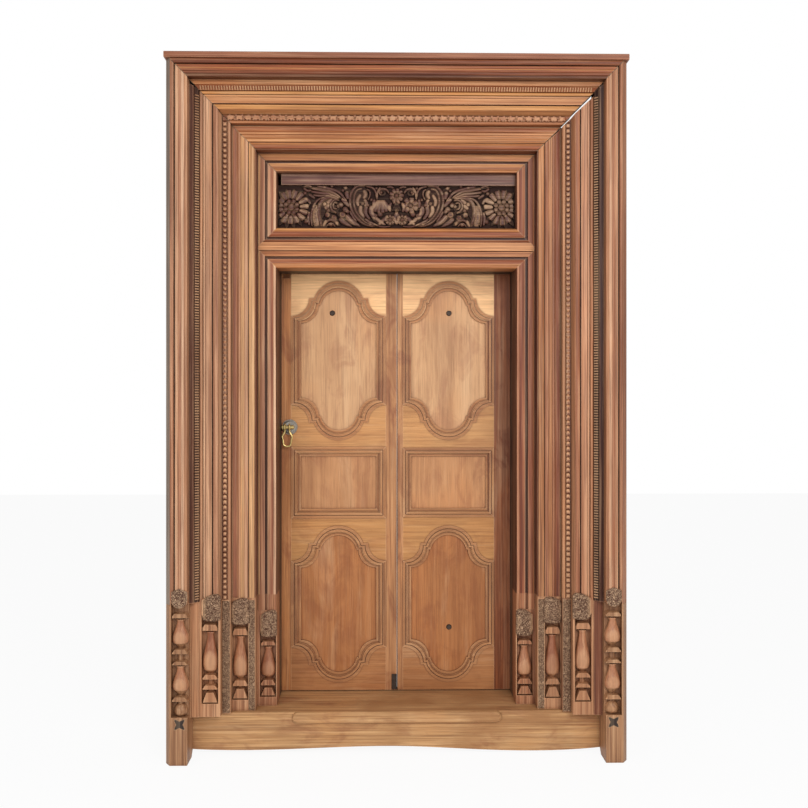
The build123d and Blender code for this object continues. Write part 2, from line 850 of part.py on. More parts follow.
def make_hinge_stile(leaf, side):
    """Hinge stile with its rounded heel and the wooden pivots that turn in sill and transom."""
    centre, half, _ = leaves[leaf]
    outline = stile_outline(leaf, side * half, side * pivot_place - centre)
    rear_edges = sorted((side * pivot_place, centre + side * (half + panel_lap)))
    with BuildPart() as stile:
        add(leaf_member(leaf, outline, (*rear_edges, leaf_bottom, leaf_top)))
        with Locations((side * pivot_place, pivot_y, leaf_bottom)):
            Cylinder(leaf_thickness / 2, leaf_top - leaf_bottom,
                     align=(Align.CENTER, Align.CENTER, Align.MIN))
        if leaf == "left":
            lost = Box(leaf_outer - 400, 2 * lost_corner_depth, 33, mode=Mode.PRIVATE)
            lost_place = (-(leaf_outer + 400) / 2, depth(leaf_front), leaf_top - 33 / 2)
            add(lost.moved(Location(lost_place)), mode=Mode.SUBTRACT)
        with Locations((side * pivot_place, pivot_y, leaf_bottom - pivot_length)):
            Cylinder(pivot_radius, leaf_top - leaf_bottom + 2 * pivot_length,
                     align=(Align.CENTER, Align.CENTER, Align.MIN))
    return stile


def make_meeting_stile(leaf, side):
    """Stile where the two leaves meet, its edge bevelled so that it clears the other leaf."""
    centre, half, _ = leaves[leaf]
    edge = meeting_edges[leaf]
    outline = stile_outline(leaf, -side * half, edge - centre)
    rear_edges = sorted((edge, centre - side * (half + panel_lap)))
    bevel = [(edge, depth(leaf_front + leaf_thickness)), (edge + side * meeting_bevel, depth(leaf_front)),
             (edge + side * meeting_bevel, depth(leaf_front - 10)), (edge - side * 5, depth(leaf_front - 10)),
             (edge - side * 5, depth(leaf_front + leaf_thickness))]
    with BuildPart() as stile:
        add(leaf_member(leaf, outline, (*rear_edges, leaf_bottom, leaf_top)))
        with BuildSketch(Plane.XY.offset(leaf_bottom)):
            with BuildLine():
                Polyline(*bevel, close=True)
            make_face()
        extrude(amount=leaf_top - leaf_bottom, mode=Mode.SUBTRACT)
    return stile


def make_rail(leaf, name):
    """A rail between the stiles, its face running on into the cusps of the openings."""
    centre, half, _ = leaves[leaf]
    levels = {"top": (panel_levels["upper"][1], leaf_top),
              "lock": (panel_levels["middle"][1], panel_levels["upper"][0]),
              "middle": (panel_levels["lower"][1], panel_levels["middle"][0]),
              "bottom": (leaf_bottom, panel_levels["lower"][0])}
    rear = (centre - half - panel_lap, centre + half + panel_lap, *levels[name])
    with BuildPart() as rail:
        add(leaf_member(leaf, rail_outlines(leaf)[name], rear))
    return rail


def make_panel(leaf, name):
    """A plain panel let into the rebate from behind, bored for its bolts."""
    centre, half, _ = leaves[leaf]
    low, high = panel_levels[name]
    front = leaf_front + panel_setback
    with BuildPart() as panel:
        block(centre - half - panel_lap, centre + half + panel_lap, low, high, front,
              front + panel_thickness)
        for place, level in bolt_places[leaf]:
            if low < level < high:
                with Locations(Plane(origin=(place, depth(front), level), z_dir=(0, -1, 0))):
                    Hole(bolt_shank + bolt_clearance)
    return panel


def make_bolts(leaf):
    """Domed bolts through the panels, with a square nut behind."""
    front = leaf_front + panel_setback
    with BuildPart() as bolts:
        for place, level in bolt_places[leaf]:
            seat = Plane(origin=(place, depth(front), level), x_dir=(1, 0, 0), z_dir=(0, -1, 0))
            with BuildSketch(seat) as head:
                Circle(bolt_radius)
            extrude(amount=5, taper=28)
            with BuildSketch(seat) as shank:
                Circle(bolt_shank)
            extrude(amount=-panel_thickness - 7)
            with BuildSketch(seat.offset(-panel_thickness)) as nut:
                Rectangle(16, 16)
            extrude(amount=-5)
    return bolts


def make_plate():
    """Small iron plate at the foot of the left meeting stile."""
    edge = meeting_edges["left"] - meeting_bevel
    with BuildPart() as plate:
        block(edge - plate_width, edge, leaf_bottom + 3, leaf_bottom + 3 + plate_height,
              leaf_front - plate_thickness, leaf_front)
    return plate


def make_rose():
    """Domed round plate of the latch, seated flat on the stile."""
    seat = Plane(origin=(-rose_place, depth(leaf_front), latch_level), x_dir=(1, 0, 0),
                 z_dir=(0, -1, 0))
    with BuildPart() as rose:
        with BuildSketch(seat):
            Circle(rose_radius)
        extrude(amount=2)
        with BuildSketch(seat.offset(2)):
            Circle(rose_radius - 1.5)
        extrude(amount=rose_thickness - 2, taper=55)
    return rose


def make_bar():
    """Latch bar on its post, with a collar at its free end."""
    with BuildPart() as bar:
        with BuildSketch(front_plane(leaf_front - rose_thickness)):
            with Locations((-post_place, latch_level)):
                Circle(post_radius)
        extrude(amount=latch_standoff - rose_thickness)
        with BuildSketch(bar_plane(-bar_start)):
            Circle(bar_radius)
        extrude(amount=bar_start - bar_end)
        with BuildSketch(bar_plane(-bar_start)):
            Circle(collar_radius)
        extrude(amount=collar_length)
        chamfer(bar.faces().sort_by(Axis.X)[0].edges(), 1.5)
    return bar


def bar_plane(place):
    """Section plane of the latch bar, its normal to the right."""
    return Plane(origin=(place, bar_y, latch_level), x_dir=(0, 1, 0), z_dir=(1, 0, 0))


def make_bail():
    """Hanging wire handle: two eyes round the bar and a drop that flares and narrows."""
    ring = bar_radius + eye_clearance + wire_radius
    first, last = bail_eyes
    middle = (first + last) / 2
    neck = -ring - 8
    with BuildPart() as bail:
        with BuildLine(Plane(origin=(middle, bar_y, latch_level), x_dir=(1, 0, 0),
                             z_dir=(0, -1, 0))) as drop:
            FilletPolyline((first - middle, -ring), (first - middle, neck),
                           (-bail_top / 2, neck - 15), (-bail_bottom / 2, -bail_drop),
                           (bail_bottom / 2, -bail_drop), (bail_top / 2, neck - 15),
                           (last - middle, neck), (last - middle, -ring), radius=bail_turn)
        with BuildSketch(Plane(origin=(first, bar_y, latch_level - ring))):
            RegularPolygon(wire_radius, wire_sides)
        sweep(path=drop.line)
        with BuildSketch(Plane(origin=(middle, bar_y, latch_level), x_dir=(1, 0, 0),
                               z_dir=(0, -1, 0))) as eyes:
            with Locations((first - middle, ring), (last - middle, ring)):
                RegularPolygon(wire_radius, wire_sides, rotation=90)
        revolve(eyes.sketch, axis=Axis((middle, bar_y, latch_level), (1, 0, 0)))
    return bail


def write(part, name):
    """Label a finished piece and write it to its file."""
    part.part.label = name
    export_step(part.part, f"parts/{name}.step")


open_mitre = {-1: (0.0, 0.0), 1: (0.0, 2.0)}
dentil_short = {-1: 17.0, 1: 7.0}
side_names = {-1: "left", 1: "right"}

for side, name in side_names.items():
    write(make_outer_jamb(side), f"{name}_outer_jamb")
    write(make_star(side), f"{name}_star_inlay")
    write(make_dentil_jamb(side, dentil_short[side]), f"{name}_dentil_strip")
    write(make_second_jamb(side, *open_mitre[side]), f"{name}_second_jamb")
    write(make_bead_jamb(side, *open_mitre[side]), f"{name}_bead_strip")
    write(make_third_jamb(side, *open_mitre[side]), f"{name}_third_jamb")
    write(make_inner_jamb(side), f"{name}_inner_jamb")
    write(make_rear_post(side), f"{name}_rear_post")
    write(make_lining(side), f"{name}_lining")
    write(make_battens(side), f"{name}_rear_battens")

write(make_outer_head(), "outer_head")
write(make_head(dentil_path(), outer_back, 760), "head_dentil_strip")
write(make_head(second_path(), outer_back, 720), "second_head")
write(make_bead_head(), "head_bead_strip")
write(make_head(third_path(), third_back, 620), "third_head")
write(make_head(inner_path(), inner_back, 540), "inner_head")
write(make_head(plain_path(post_outer, third_inner, third_back), frame_depth, 620), "rear_head")
write(make_head_battens(), "head_rear_battens")
write(make_cap(), "cap_board")
write(make_sill(), "sill")
write(make_transom(), "transom")
write(make_frieze(), "carved_frieze")
write(make_top_board(), "frieze_top_board")
write(make_backboard(), "frieze_backboard")

for leaf, side in (("left", -1), ("right", 1)):
    write(make_hinge_stile(leaf, side), f"{leaf}_hinge_stile")
    write(make_meeting_stile(leaf, side), f"{leaf}_meeting_stile")
    for level in ("top", "lock", "middle", "bottom"):
        write(make_rail(leaf, level), f"{leaf}_{level}_rail")
    for level in panel_levels:
        write(make_panel(leaf, level), f"{leaf}_{level}_panel")
    write(make_bolts(leaf), f"{leaf}_leaf_bolts")

write(make_plate(), "meeting_plate")
write(make_rose(), "latch_rose")
write(make_bar(), "latch_bar")
write(make_bail(), "latch_bail")
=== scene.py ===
import math
import random

import bmesh
import bpy
from mathutils import Matrix, Vector, noise


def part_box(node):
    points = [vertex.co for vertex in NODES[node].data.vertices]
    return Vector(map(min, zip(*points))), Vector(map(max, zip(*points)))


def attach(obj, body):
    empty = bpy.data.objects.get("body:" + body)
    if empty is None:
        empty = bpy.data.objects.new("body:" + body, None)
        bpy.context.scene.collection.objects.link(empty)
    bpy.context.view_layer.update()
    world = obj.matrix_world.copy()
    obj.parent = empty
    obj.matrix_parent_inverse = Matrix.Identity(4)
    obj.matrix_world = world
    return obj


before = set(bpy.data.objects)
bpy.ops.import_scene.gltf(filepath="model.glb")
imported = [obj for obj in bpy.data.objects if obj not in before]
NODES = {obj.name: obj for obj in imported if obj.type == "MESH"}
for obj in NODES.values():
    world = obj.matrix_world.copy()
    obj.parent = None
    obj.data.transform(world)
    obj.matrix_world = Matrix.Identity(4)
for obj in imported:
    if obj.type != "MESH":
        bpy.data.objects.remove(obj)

bl_info = {
    "name": "Carved Temple Door",
    "version": (1, 0, 0),
    "blender": (4, 5, 0),
    "location": "View3D > Sidebar > Temple Door",
    "description": "Dresses a carved double door and its stepped timber frame",
    "category": "Object",
}

# In metres: the front plane, the level from which the mitres run out at 45 degrees, the leaves' face
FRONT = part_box("cap_board")[0][1]
MITRE = 1.640
LEAF_FACE = 0.150
SIDES = {"left": -1, "right": 1}


def srgb(red, green, blue):
    """Colour as it looks on screen, 0 to 255, as the linear colour that shaders take."""
    out = []
    for part in (red, green, blue):
        part /= 255
        out.append(part / 12.92 if part <= 0.04045 else ((part + 0.055) / 1.055) ** 2.4)
    return tuple(out)


# Settings


class DoorStageSettings(bpy.types.PropertyGroup):
    camera_distance: bpy.props.FloatProperty(
        name="Camera Distance", description="From the camera to the frame's front",
        default=3.3, min=1.0, subtype="DISTANCE", unit="LENGTH")
    camera_height: bpy.props.FloatProperty(
        name="Camera Height", description="Height of the camera above the floor",
        default=1.262, subtype="DISTANCE", unit="LENGTH")
    camera_side: bpy.props.FloatProperty(
        name="Camera Side", description="Camera's place to the right of the centre line",
        default=-0.050, subtype="DISTANCE", unit="LENGTH")
    camera_turn: bpy.props.FloatProperty(
        name="Camera Turn", description="How far the camera turns to the right",
        default=math.radians(1.06), subtype="ANGLE", unit="ROTATION")
    lens: bpy.props.FloatProperty(
        name="Lens", description="Focal length on a 36 mm sensor, in millimetres", default=42.86)
    shift_x: bpy.props.FloatProperty(
        name="Shift Across", description="Share of the image width", default=0.0041)
    shift_y: bpy.props.FloatProperty(
        name="Shift Up", description="Share of the image width", default=-0.0087)
    sky: bpy.props.FloatProperty(
        name="Sky Strength", description="Light from all round", default=0.47, min=0.0)
    key: bpy.props.FloatProperty(
        name="Key Strength", description="Power of the broad front lamp", default=101.0,
        min=0.0, subtype="POWER", unit="POWER")
    floor_white: bpy.props.FloatProperty(
        name="Floor White", description="How much of the floor's white is seen without shadow",
        default=0.92, min=0.0, max=1.0, subtype="FACTOR")


class DoorTimberSettings(bpy.types.PropertyGroup):
    panel: bpy.props.FloatVectorProperty(
        name="Panel", description="Main colour of the leaves' upper panels", size=3,
        default=srgb(212, 166, 127), min=0, max=1, subtype="COLOR")
    rail: bpy.props.FloatVectorProperty(
        name="Rail", description="Main colour of the leaves' rails", size=3,
        default=srgb(206, 154, 104), min=0, max=1, subtype="COLOR")
    stile: bpy.props.FloatVectorProperty(
        name="Stile", description="Main colour of the leaves' meeting stiles", size=3,
        default=srgb(194, 140, 98), min=0, max=1, subtype="COLOR")
    leaf_band: bpy.props.FloatVectorProperty(
        name="Panel Mouldings", description="Colour of the bands round the openings", size=3,
        default=srgb(184, 130, 88), min=0, max=1, subtype="COLOR")
    frieze: bpy.props.FloatVectorProperty(
        name="Frieze", description="Main colour of the carved board", size=3,
        default=srgb(92, 55, 47), min=0, max=1, subtype="COLOR")
    stipple: bpy.props.FloatVectorProperty(
        name="Textured Carving", description="Dull colour of pads and textured strips", size=3,
        default=srgb(128, 88, 68), min=0, max=1, subtype="COLOR")
    sill: bpy.props.FloatVectorProperty(
        name="Sill", description="Main colour of the sill", size=3,
        default=srgb(202, 158, 114), min=0, max=1, subtype="COLOR")


class DoorCarvingSettings(bpy.types.PropertyGroup):
    bead_pitch: bpy.props.FloatProperty(
        name="Bead Pitch", description="From bead to bead on the uprights",
        default=0.0187, subtype="DISTANCE", unit="LENGTH")
    bead_radius: bpy.props.FloatProperty(
        name="Bead Radius", description="Radius of the beads on the uprights",
        default=0.0062, subtype="DISTANCE", unit="LENGTH")
    boss_pitch: bpy.props.FloatProperty(
        name="Boss Pitch", description="From boss to boss on the head",
        default=0.022, subtype="DISTANCE", unit="LENGTH")
    cut_pitch: bpy.props.FloatProperty(
        name="Cross Cut Pitch", description="From tooth to tooth on the dentil strips",
        default=0.0092, subtype="DISTANCE", unit="LENGTH")
    frieze_rise: bpy.props.FloatProperty(
        name="Frieze Rise", description="How far the frieze's carving is domed",
        default=0.0075, subtype="DISTANCE", unit="LENGTH")


# Layout of the carving, in mm; a face's depth is counted back from the front plane

# Beads of the uprights: distance from the centre, lower and upper end, rise, depth of the face
BEAD_LINE = 605.5
BEAD_ROW = (548, 2235)
BEAD_RISE = 5.0
BEAD_FACE = 95.5
# Bosses of the head: where the row begins, how far its middle may lie out, depth of the face
BOSS_START = 600
BOSS_REACH = 592
BOSS_FACE = 94.5

# Teeth of the sloped strips: distance from the centre, lower and upper end, reach on the head,
# depth of the strip's middle, its slope, and a tooth's length, height, worn edge and lift
TOOTH_LINE = 696.5
TOOTH_ROW = (556, 2318)
TOOTH_REACH = 688
TOOTH_FACE = 52
TOOTH_SLOPE = (13.0, -12.0)
TOOTH_LONG, TOOTH_HIGH, TOOTH_EDGE, TOOTH_LIFT = 16.5, 4.0, 0.9, 0.6

# Centre level and face of the frieze
FRIEZE_LEVEL = 1958.0
FRIEZE_FACE = 217.5

# Right half of the frieze from its centre: run of (across, up), width, share of the rise,
# where the form is fullest, and how deep its midrib is cut
FRIEZE_FORMS = (
    # the great scroll leaf: its rims, its hook and the leaves inside it
    (((110, 75), (133, 76), (155, 65), (168, 41), (170, 11), (162, -18), (142, -47), (116, -66),
      (81, -75)), 10, 1.15, 0.5, 0.0),
    (((124, 65), (143, 60), (154, 41), (156, 11), (148, -18), (130, -44), (107, -62), (75, -73)),
     8, 1.0, 0.5, 0.0),
    (((113, 73), (89, 68), (76, 52), (73, 32)), 9, 1.1, 0.5, 0.0),
    (((110, 63), (99, 56), (97, 41), (105, 22)), 7, 1.0, 0.5, 0.0),
    (((121, 59), (113, 44), (121, 28)), 14, 0.9, 0.45, 1.5),
    (((131, 44), (143, 21), (139, 0)), 13, 0.9, 0.5, 1.5),
    (((119, 26), (109, 12), (117, -1)), 12, 0.9, 0.5, 1.2),
    (((130, 4), (131, -21), (115, -42)), 15, 0.9, 0.4, 2.0),
    (((109, 2), (113, -24), (97, -48)), 15, 0.9, 0.4, 2.0),
    (((92, 4), (95, -21), (77, -48)), 16, 0.9, 0.4, 2.0),
    (((117, -44), (98, -58), (68, -70)), 10, 0.9, 0.4, 1.5),
    (((79, -35), (63, -53), (39, -68)), 13, 0.9, 0.4, 1.8),
    (((80, 27), (84, 9), (80, -5)), 13, 0.8, 0.5, 1.2),
    # feathers to the upper corner
    (((180, 15), (209, 50), (247, 65), (292, 74)), 11, 1.0, 0.6, 1.2),
    (((203, 31), (238, 54), (270, 59), (311, 66)), 11, 1.0, 0.6, 1.2),
    (((207, 29), (244, 44), (276, 48), (314, 54)), 11, 0.95, 0.6, 1.2),
    (((214, 28), (250, 37), (282, 38), (305, 41)), 10, 0.9, 0.6, 1.2),
    (((309, 70), (323, 76), (337, 72)), 9, 1.0, 0.5, 1.0),
    (((310, 58), (326, 57), (339, 67)), 10, 1.0, 0.6, 1.0),
    (((298, 30), (309, 36), (320, 44)), 10, 0.8, 0.5, 1.0),
    # the bending stem and the broad body beside it
    (((209, 26), (241, 32), (267, 25), (281, 6), (285, -18), (281, -47), (272, -74)), 14, 1.25, 0.55,
     0.0),
    (((256, 32), (282, 26), (300, 6), (310, -24), (311, -53), (307, -75)), 10, 1.0, 0.5, 0.0),
    (((294, 6), (296, -29), (291, -74)), 27, 0.85, 0.55, 0.0),
    # the small spiral and its lobes
    (((208, 21), (227, 23), (240, 7), (237, -12), (219, -25)), 9, 1.1, 0.5, 0.0),
    (((216, 11), (227, 13), (232, 3), (227, -9), (217, -8)), 7, 1.0, 0.5, 0.0),
    (((234, 27), (254, 11)), 14, 0.9, 0.6, 1.5),
    (((245, 7), (261, -10)), 14, 0.9, 0.6, 1.5),
    # leaves and buds between scroll and spiral
    (((177, 26), (184, 55)), 16, 0.9, 0.6, 1.5),
    (((172, -1), (186, 14), (201, 28)), 15, 0.9, 0.5, 1.8),
    (((184, -30), (165, -53), (132, -74)), 19, 1.0, 0.35, 2.5),
    (((209, -43), (192, -59), (163, -75)), 16, 0.95, 0.35, 2.2),
    (((171, -16), (158, -40), (146, -56)), 10, 0.8, 0.4, 1.2),
    # low round leaf with its ribs, and what fills the corner
    (((213, -71), (224, -55), (241, -50), (257, -58), (265, -73)), 10, 1.0, 0.5, 0.0),
    (((224, -74), (232, -65), (244, -63), (255, -73)), 9, 0.95, 0.5, 0.0),
    (((256, -50), (268, -74)), 11, 0.85, 0.4, 1.2),
    (((318, -20), (322, -44), (318, -70)), 11, 0.8, 0.5, 1.2),
    (((314, 8), (322, 22), (334, 30)), 11, 0.8, 0.5, 1.2),
    # curls and leaves round the middle flowers
    (((27, 47), (37, 61), (56, 64), (65, 53), (58, 42)), 9, 1.0, 0.5, 0.0),
    (((10, 66), (22, 72), (36, 70)), 9, 0.9, 0.5, 0.0),
    (((72, 24), (70, 50), (58, 72)), 9, 0.8, 0.5, 1.0),
    (((30, -33), (51, -52), (66, -68)), 13, 0.9, 0.45, 1.6),
    (((0, -20), (6, -42), (0, -66)), 13, 0.8, 0.4, 1.4),
    (((22, -72), (52, -75), (84, -64)), 8, 0.8, 0.5, 0.0),
    (((18, 14), (26, -2), (22, -20)), 11, 0.8, 0.5, 1.2),
    (((88, -6), (86, -26), (70, -34)), 11, 0.8, 0.5, 1.2),
)
# Across, up, radius and share of the rise
FRIEZE_KNOBS = (
    (187, -11, 11, 1.0), (203, 5, 10, 1.0), (197, -30, 12, 0.95), (179, -19, 8, 0.8),
    (215, 0, 6, 1.0), (228, -41, 10, 1.0), (253, -31, 10, 0.9), (240, -68, 7, 0.8),
    (218, -62, 7, 0.8), (56, 51, 6, 1.0), (74, 66, 6, 0.7), (92, 24, 6, 0.8), (104, 4, 6, 0.8),
    (124, 10, 6, 0.9), (97, -66, 6, 0.7), (60, -29, 10, 0.9), (8, 14, 6, 0.8), (0, -14, 8, 1.0),
    (262, 70, 6, 0.6), (236, 74, 6, 0.6), (186, 68, 7, 0.7), (196, 58, 6, 0.7), (328, 0, 7, 0.8),
    (330, -56, 8, 0.8), (334, 48, 7, 0.8), (150, 74, 6, 0.6), (262, 8, 8, 0.7), (250, -16, 7, 0.8),
)
# Dots on the broad body: how many, and where they lie across and up
BODY_DOTS = 44
BODY_ACROSS = (286, 303)
BODY_UP = (-68, 2)
# Ribs of the shell beside the middle, by how far each leans, and its foot
SHELL_LEANS = (-36, -22, -8, 8, 22, 36)
SHELL_PLACE = -58
# Middle of an end flower, its petals, their reach, the room that the frame leaves it, and its buttons
END_FLOWER = (384, -3)
PETALS = 15
PETAL_START, PETAL_REACH, PETAL_WIDTH = 30, 66, 19
SIDE_ROOM, RISE_ROOM = 45, 75
BUTTONS, BUTTON_RING = 8, 22

# Pads over the balusters: distance from the centre, lower and upper edge, half width, face's depth
PADS = ((646, 480, 574, 32, 61), (557.5, 452, 547, 33, 127), (462, 394, 492, 30, 182))
PAD_RISE = 13.5
# How far the skin's ridges stand, and how far a pad's tip leans up towards the opening
PAD_RIDGE = 1.4
PAD_PEAK = 9.0
# The outermost pads lie in the front plane: inner and outer edge, lower and upper edge
FLUSH_PAD = (708, 775, 538, 608)

# Vases of the balusters: distance from the centre, foot and head, depth of the board's face
VASES = ((746, 416, 498, 4), (746, 255, 338, 4), (652.5, 308, 442, 61), (557.5, 271, 410, 127),
         (465, 255, 358, 182))
# Their outline: radius as a share of the belly, and height as a share of the vase
VASE_OUTLINE = ((0.0, 1.0), (0.46, 1.0), (0.47, 0.965), (0.39, 0.95), (0.41, 0.86), (0.50, 0.74),
                (0.66, 0.59), (0.84, 0.44), (0.95, 0.32), (1.0, 0.21), (0.98, 0.11), (0.84, 0.02),
                (0.8, 0.0), (0.0, 0.0))
VASE_RADIUS = 28.6
# How far their axis lies behind the board's face, and how much flatter than round they are
VASE_SET_BACK = 18
VASE_FLATNESS = 0.62

# Textured strips: inner and outer edge, lower and upper edge, depth of the face
WORM_STRIPS = ((588, 615, 150, 545, 96), (505, 527, 150, 540, 127))
# How far their carved skin reaches back into the board
STRIP_SKIRT = 9

# Lamps: name, place and share of the key's power; what they face and their size, all in metres
LAMPS = (("front_lamp", (1.1, -3.8, 2.6), 1.0), ("fill_lamp", (-2.4, -3.4, 1.7), 0.3))
LAMP_AIM = (0, 0, 1.2)
LAMP_SIZE = 2.2


# Materials


class Nodes:
    """A short way to write a material's node tree."""

    def __init__(self, name):
        self.material = bpy.data.materials.new(name)
        self.material.use_nodes = True
        self.tree = self.material.node_tree
        self.shader = self.tree.nodes["Principled BSDF"]
        self.coords = self.add("ShaderNodeTexCoord").outputs["Object"]

    def add(self, kind, **settings):
        node = self.tree.nodes.new(kind)
        for key, value in settings.items():
            setattr(node, key, value)
        return node

    def link(self, value, socket):
        if isinstance(value, bpy.types.NodeSocket):
            self.tree.links.new(value, socket)
        else:
            socket.default_value = value

    def stretch(self, scale, shift=(0, 0, 0)):
        node = self.add("ShaderNodeMapping")
        self.link(self.coords, node.inputs["Vector"])
        node.inputs["Scale"].default_value = scale
        node.inputs["Location"].default_value = shift
        return node.outputs["Vector"]

    def place(self, axis):
        node = self.add("ShaderNodeSeparateXYZ")
        self.link(self.coords, node.inputs[0])
        return node.outputs[axis.upper()]

    def noise(self, vector, scale, detail=4.0, roughness=0.55, distortion=0.0):
        node = self.add("ShaderNodeTexNoise")
        self.link(vector, node.inputs["Vector"])
        node.inputs["Scale"].default_value = scale
        node.inputs["Detail"].default_value = detail
        node.inputs["Roughness"].default_value = roughness
        node.inputs["Distortion"].default_value = distortion
        return node.outputs["Fac"]

    def ramp(self, value, stops, interpolation="LINEAR"):
        node = self.add("ShaderNodeValToRGB")
        self.link(value, node.inputs["Fac"])
        node.color_ramp.interpolation = interpolation
        marks = node.color_ramp.elements
        while len(marks) < len(stops):
            marks.new(0.5)
        for mark, (place, colour) in zip(marks, stops):
            mark.position = place
            mark.color = (*colour, 1.0) if not isinstance(colour, float) else (colour,) * 3 + (1.0,)
        return node.outputs["Color"]

    def blend(self, amount, first, second, mode="MIX"):
        node = self.add("ShaderNodeMix", data_type="RGBA", blend_type=mode)
        self.link(amount, node.inputs["Factor"])
        for value, index in ((first, 6), (second, 7)):
            if not isinstance(value, bpy.types.NodeSocket):
                value = (*value, 1.0)
            self.link(value, node.inputs[index])
        return node.outputs[2]

    def cover(self, below, tone, mask, stops, amount=1.0):
        """Lays a tone over what is below, as far as a mask's ramp and an amount say."""
        return self.blend(self.math("MULTIPLY", self.ramp(mask, stops), amount), below, tone)

    def math(self, operation, first, second=0.0, third=None, clamp=False):
        node = self.add("ShaderNodeMath", operation=operation, use_clamp=clamp)
        self.link(first, node.inputs[0])
        self.link(second, node.inputs[1])
        if third is not None:
            self.link(third, node.inputs[2])
        return node.outputs[0]

    def crevice(self, distance, inside=False):
        node = self.add("ShaderNodeAmbientOcclusion", inside=inside, samples=6)
        node.inputs["Distance"].default_value = distance
        return node.outputs["AO"]

    def bump(self, height, strength, distance, below=None):
        node = self.add("ShaderNodeBump")
        self.link(height, node.inputs["Height"])
        node.inputs["Strength"].default_value = strength
        node.inputs["Distance"].default_value = distance
        if below is not None:
            self.link(below, node.inputs["Normal"])
        return node.outputs["Normal"]


# Tint of the old wax over all timber, and how far from an edge it is worn pale, partly as a painted
# highlight, in metres
WAX = (1.0, 0.96, 0.84)
EDGE_REACH = 0.004


def along(axis, long, across):
    """Texture scale that draws grain out along one axis."""
    return tuple(long if name == axis else across for name in "xyz")


def worm_skin(n, ground, seed):
    """Winding pale ridges on a darker ground, with the height that they stand up."""
    shift = (seed * 1.3, seed * 0.7, seed * 1.9)
    wander = n.noise(n.stretch((1, 1, 1), shift), 125.0, 1.5, 0.5, 1.2)
    speck = n.noise(n.stretch((1, 1, 1), shift), 260.0, 1.0, 0.5, 0.3)
    ridge = n.ramp(wander, ((0.38, 0.0), (0.47, 1.0), (0.53, 1.0), (0.62, 0.0)))
    ridge = n.math("MULTIPLY", ridge, n.ramp(speck, ((0.36, 0.35), (0.52, 1.0))))
    low = n.blend(1.0, ground, (0.42, 0.36, 0.34), "MULTIPLY")
    high = n.blend(0.62, ground, srgb(222, 188, 160))
    return n.blend(ridge, low, high), ridge


def weather(n, axis, colour, seed=0.0, streaks=0.5, blotch=0.3, rough=0.5, groove=0.02, wear=0.45,
            grime=0.75, fine=1.0, grain=1.0, stain=0.0, hollow=(0.25, 0.78), worms=None):
    """Waxed timber over a ground colour: streaks, pores, blotches, worn edges with a painted highlight,
    and painted shade in its recesses.

    The shade span says how closed a recess is where its painted shade is darkest and where that
    shade ends, and worms where the skin is carved into winding ridges.
    """
    shift = (seed * 3.1, seed * 1.7, seed * 2.3)
    wide = n.noise(n.stretch(along(axis, 0.8, 16.0 * fine), shift), 1.6, 5.0, 0.6, 0.6)
    streak = n.noise(n.stretch(along(axis, 1.3, 80.0 * fine), shift), 1.3, 4.0, 0.6, 0.25)
    hair = n.noise(n.stretch(along(axis, 2.4, 260.0 * fine), shift), 1.0, 3.0, 0.6, 0.1)
    pores = n.noise(n.stretch(along(axis, 9.0, 420.0), shift), 1.0, 2.0, 0.5)
    patch = n.noise(n.stretch((1, 1, 1), shift), 3.2, 3.0, 0.5)
    dark = n.blend(1.0, colour, (0.33, 0.25, 0.22), "MULTIPLY")
    deep = n.blend(1.0, colour, (0.66, 0.58, 0.53), "MULTIPLY")
    warm = n.blend(1.0, colour, (1.03, 0.88, 0.74), "MULTIPLY")
    pale = n.blend(0.36, colour, srgb(246, 214, 180))
    mixed = n.cover(colour, deep, wide, ((0.3, 1.0), (0.48, 0.0)))
    mixed = n.cover(mixed, pale, wide, ((0.56, 0.0), (0.74, 0.85)))
    mixed = n.cover(mixed, warm, patch, ((0.5, 0.0), (0.66, 1.0)), 0.5)
    if stain:
        cloud = n.noise(n.stretch(along(axis, 1.0, 2.2), shift), 5.5, 4.0, 0.6, 0.8)
        plum = n.blend(1.0, colour, (0.62, 0.48, 0.48), "MULTIPLY")
        mixed = n.cover(mixed, plum, cloud, ((0.5, 0.0), (0.64, 1.0)), stain)
    mixed = n.cover(mixed, dark, streak, ((0.34, 1.0), (0.47, 0.35), (0.58, 0.0)), streaks)
    mixed = n.cover(mixed, pale, streak, ((0.54, 0.0), (0.72, 1.0)), 0.5 * grain)
    mixed = n.cover(mixed, dark, hair, ((0.36, 1.0), (0.48, 0.0)), 0.5 * grain)
    mixed = n.cover(mixed, pale, hair, ((0.55, 0.0), (0.68, 1.0)), 0.3 * grain)
    mixed = n.cover(mixed, deep, patch, ((0.34, 1.0), (0.5, 0.0)), blotch)
    mixed = n.cover(mixed, dark, pores, ((0.36, 1.0), (0.46, 0.0)), 0.3)
    if worms is not None:
        skin, ridge = worm_skin(n, colour, seed)
        mixed = n.blend(worms, mixed, skin)
    # Worn edges and painted highlight: convex edges paled towards a light tan.
    rubbed_and_highlit = n.ramp(n.crevice(EDGE_REACH, inside=True), ((0.35, 1.0), (0.8, 0.0)))
    rubbed_and_highlit = n.math("MULTIPLY", rubbed_and_highlit, n.ramp(patch, ((0.3, 0.35), (0.6, 1.0))))
    mixed = n.blend(n.math("MULTIPLY", rubbed_and_highlit, wear), mixed, srgb(232, 190, 154))
    # Painted shade: recesses darkened the more closed they are.
    mixed = n.cover(mixed, dark, n.crevice(groove), ((hollow[0], 1.0), (hollow[1], 0.0)), grime)
    mixed = n.blend(1.0, mixed, WAX, "MULTIPLY")
    n.link(mixed, n.shader.inputs["Base Color"])
    n.link(n.math("MULTIPLY_ADD", streak, 0.22, rough - 0.1), n.shader.inputs["Roughness"])
    normal = n.bump(streak, 0.4, 0.0012)
    normal = n.bump(pores, 0.3, 0.0005, normal)
    if worms is not None:
        normal = n.bump(n.math("MULTIPLY", ridge, worms), 0.9, 0.003, normal)
    n.link(normal, n.shader.inputs["Normal"])
    n.shader.inputs["Specular IOR Level"].default_value = 0.35
    return n.material


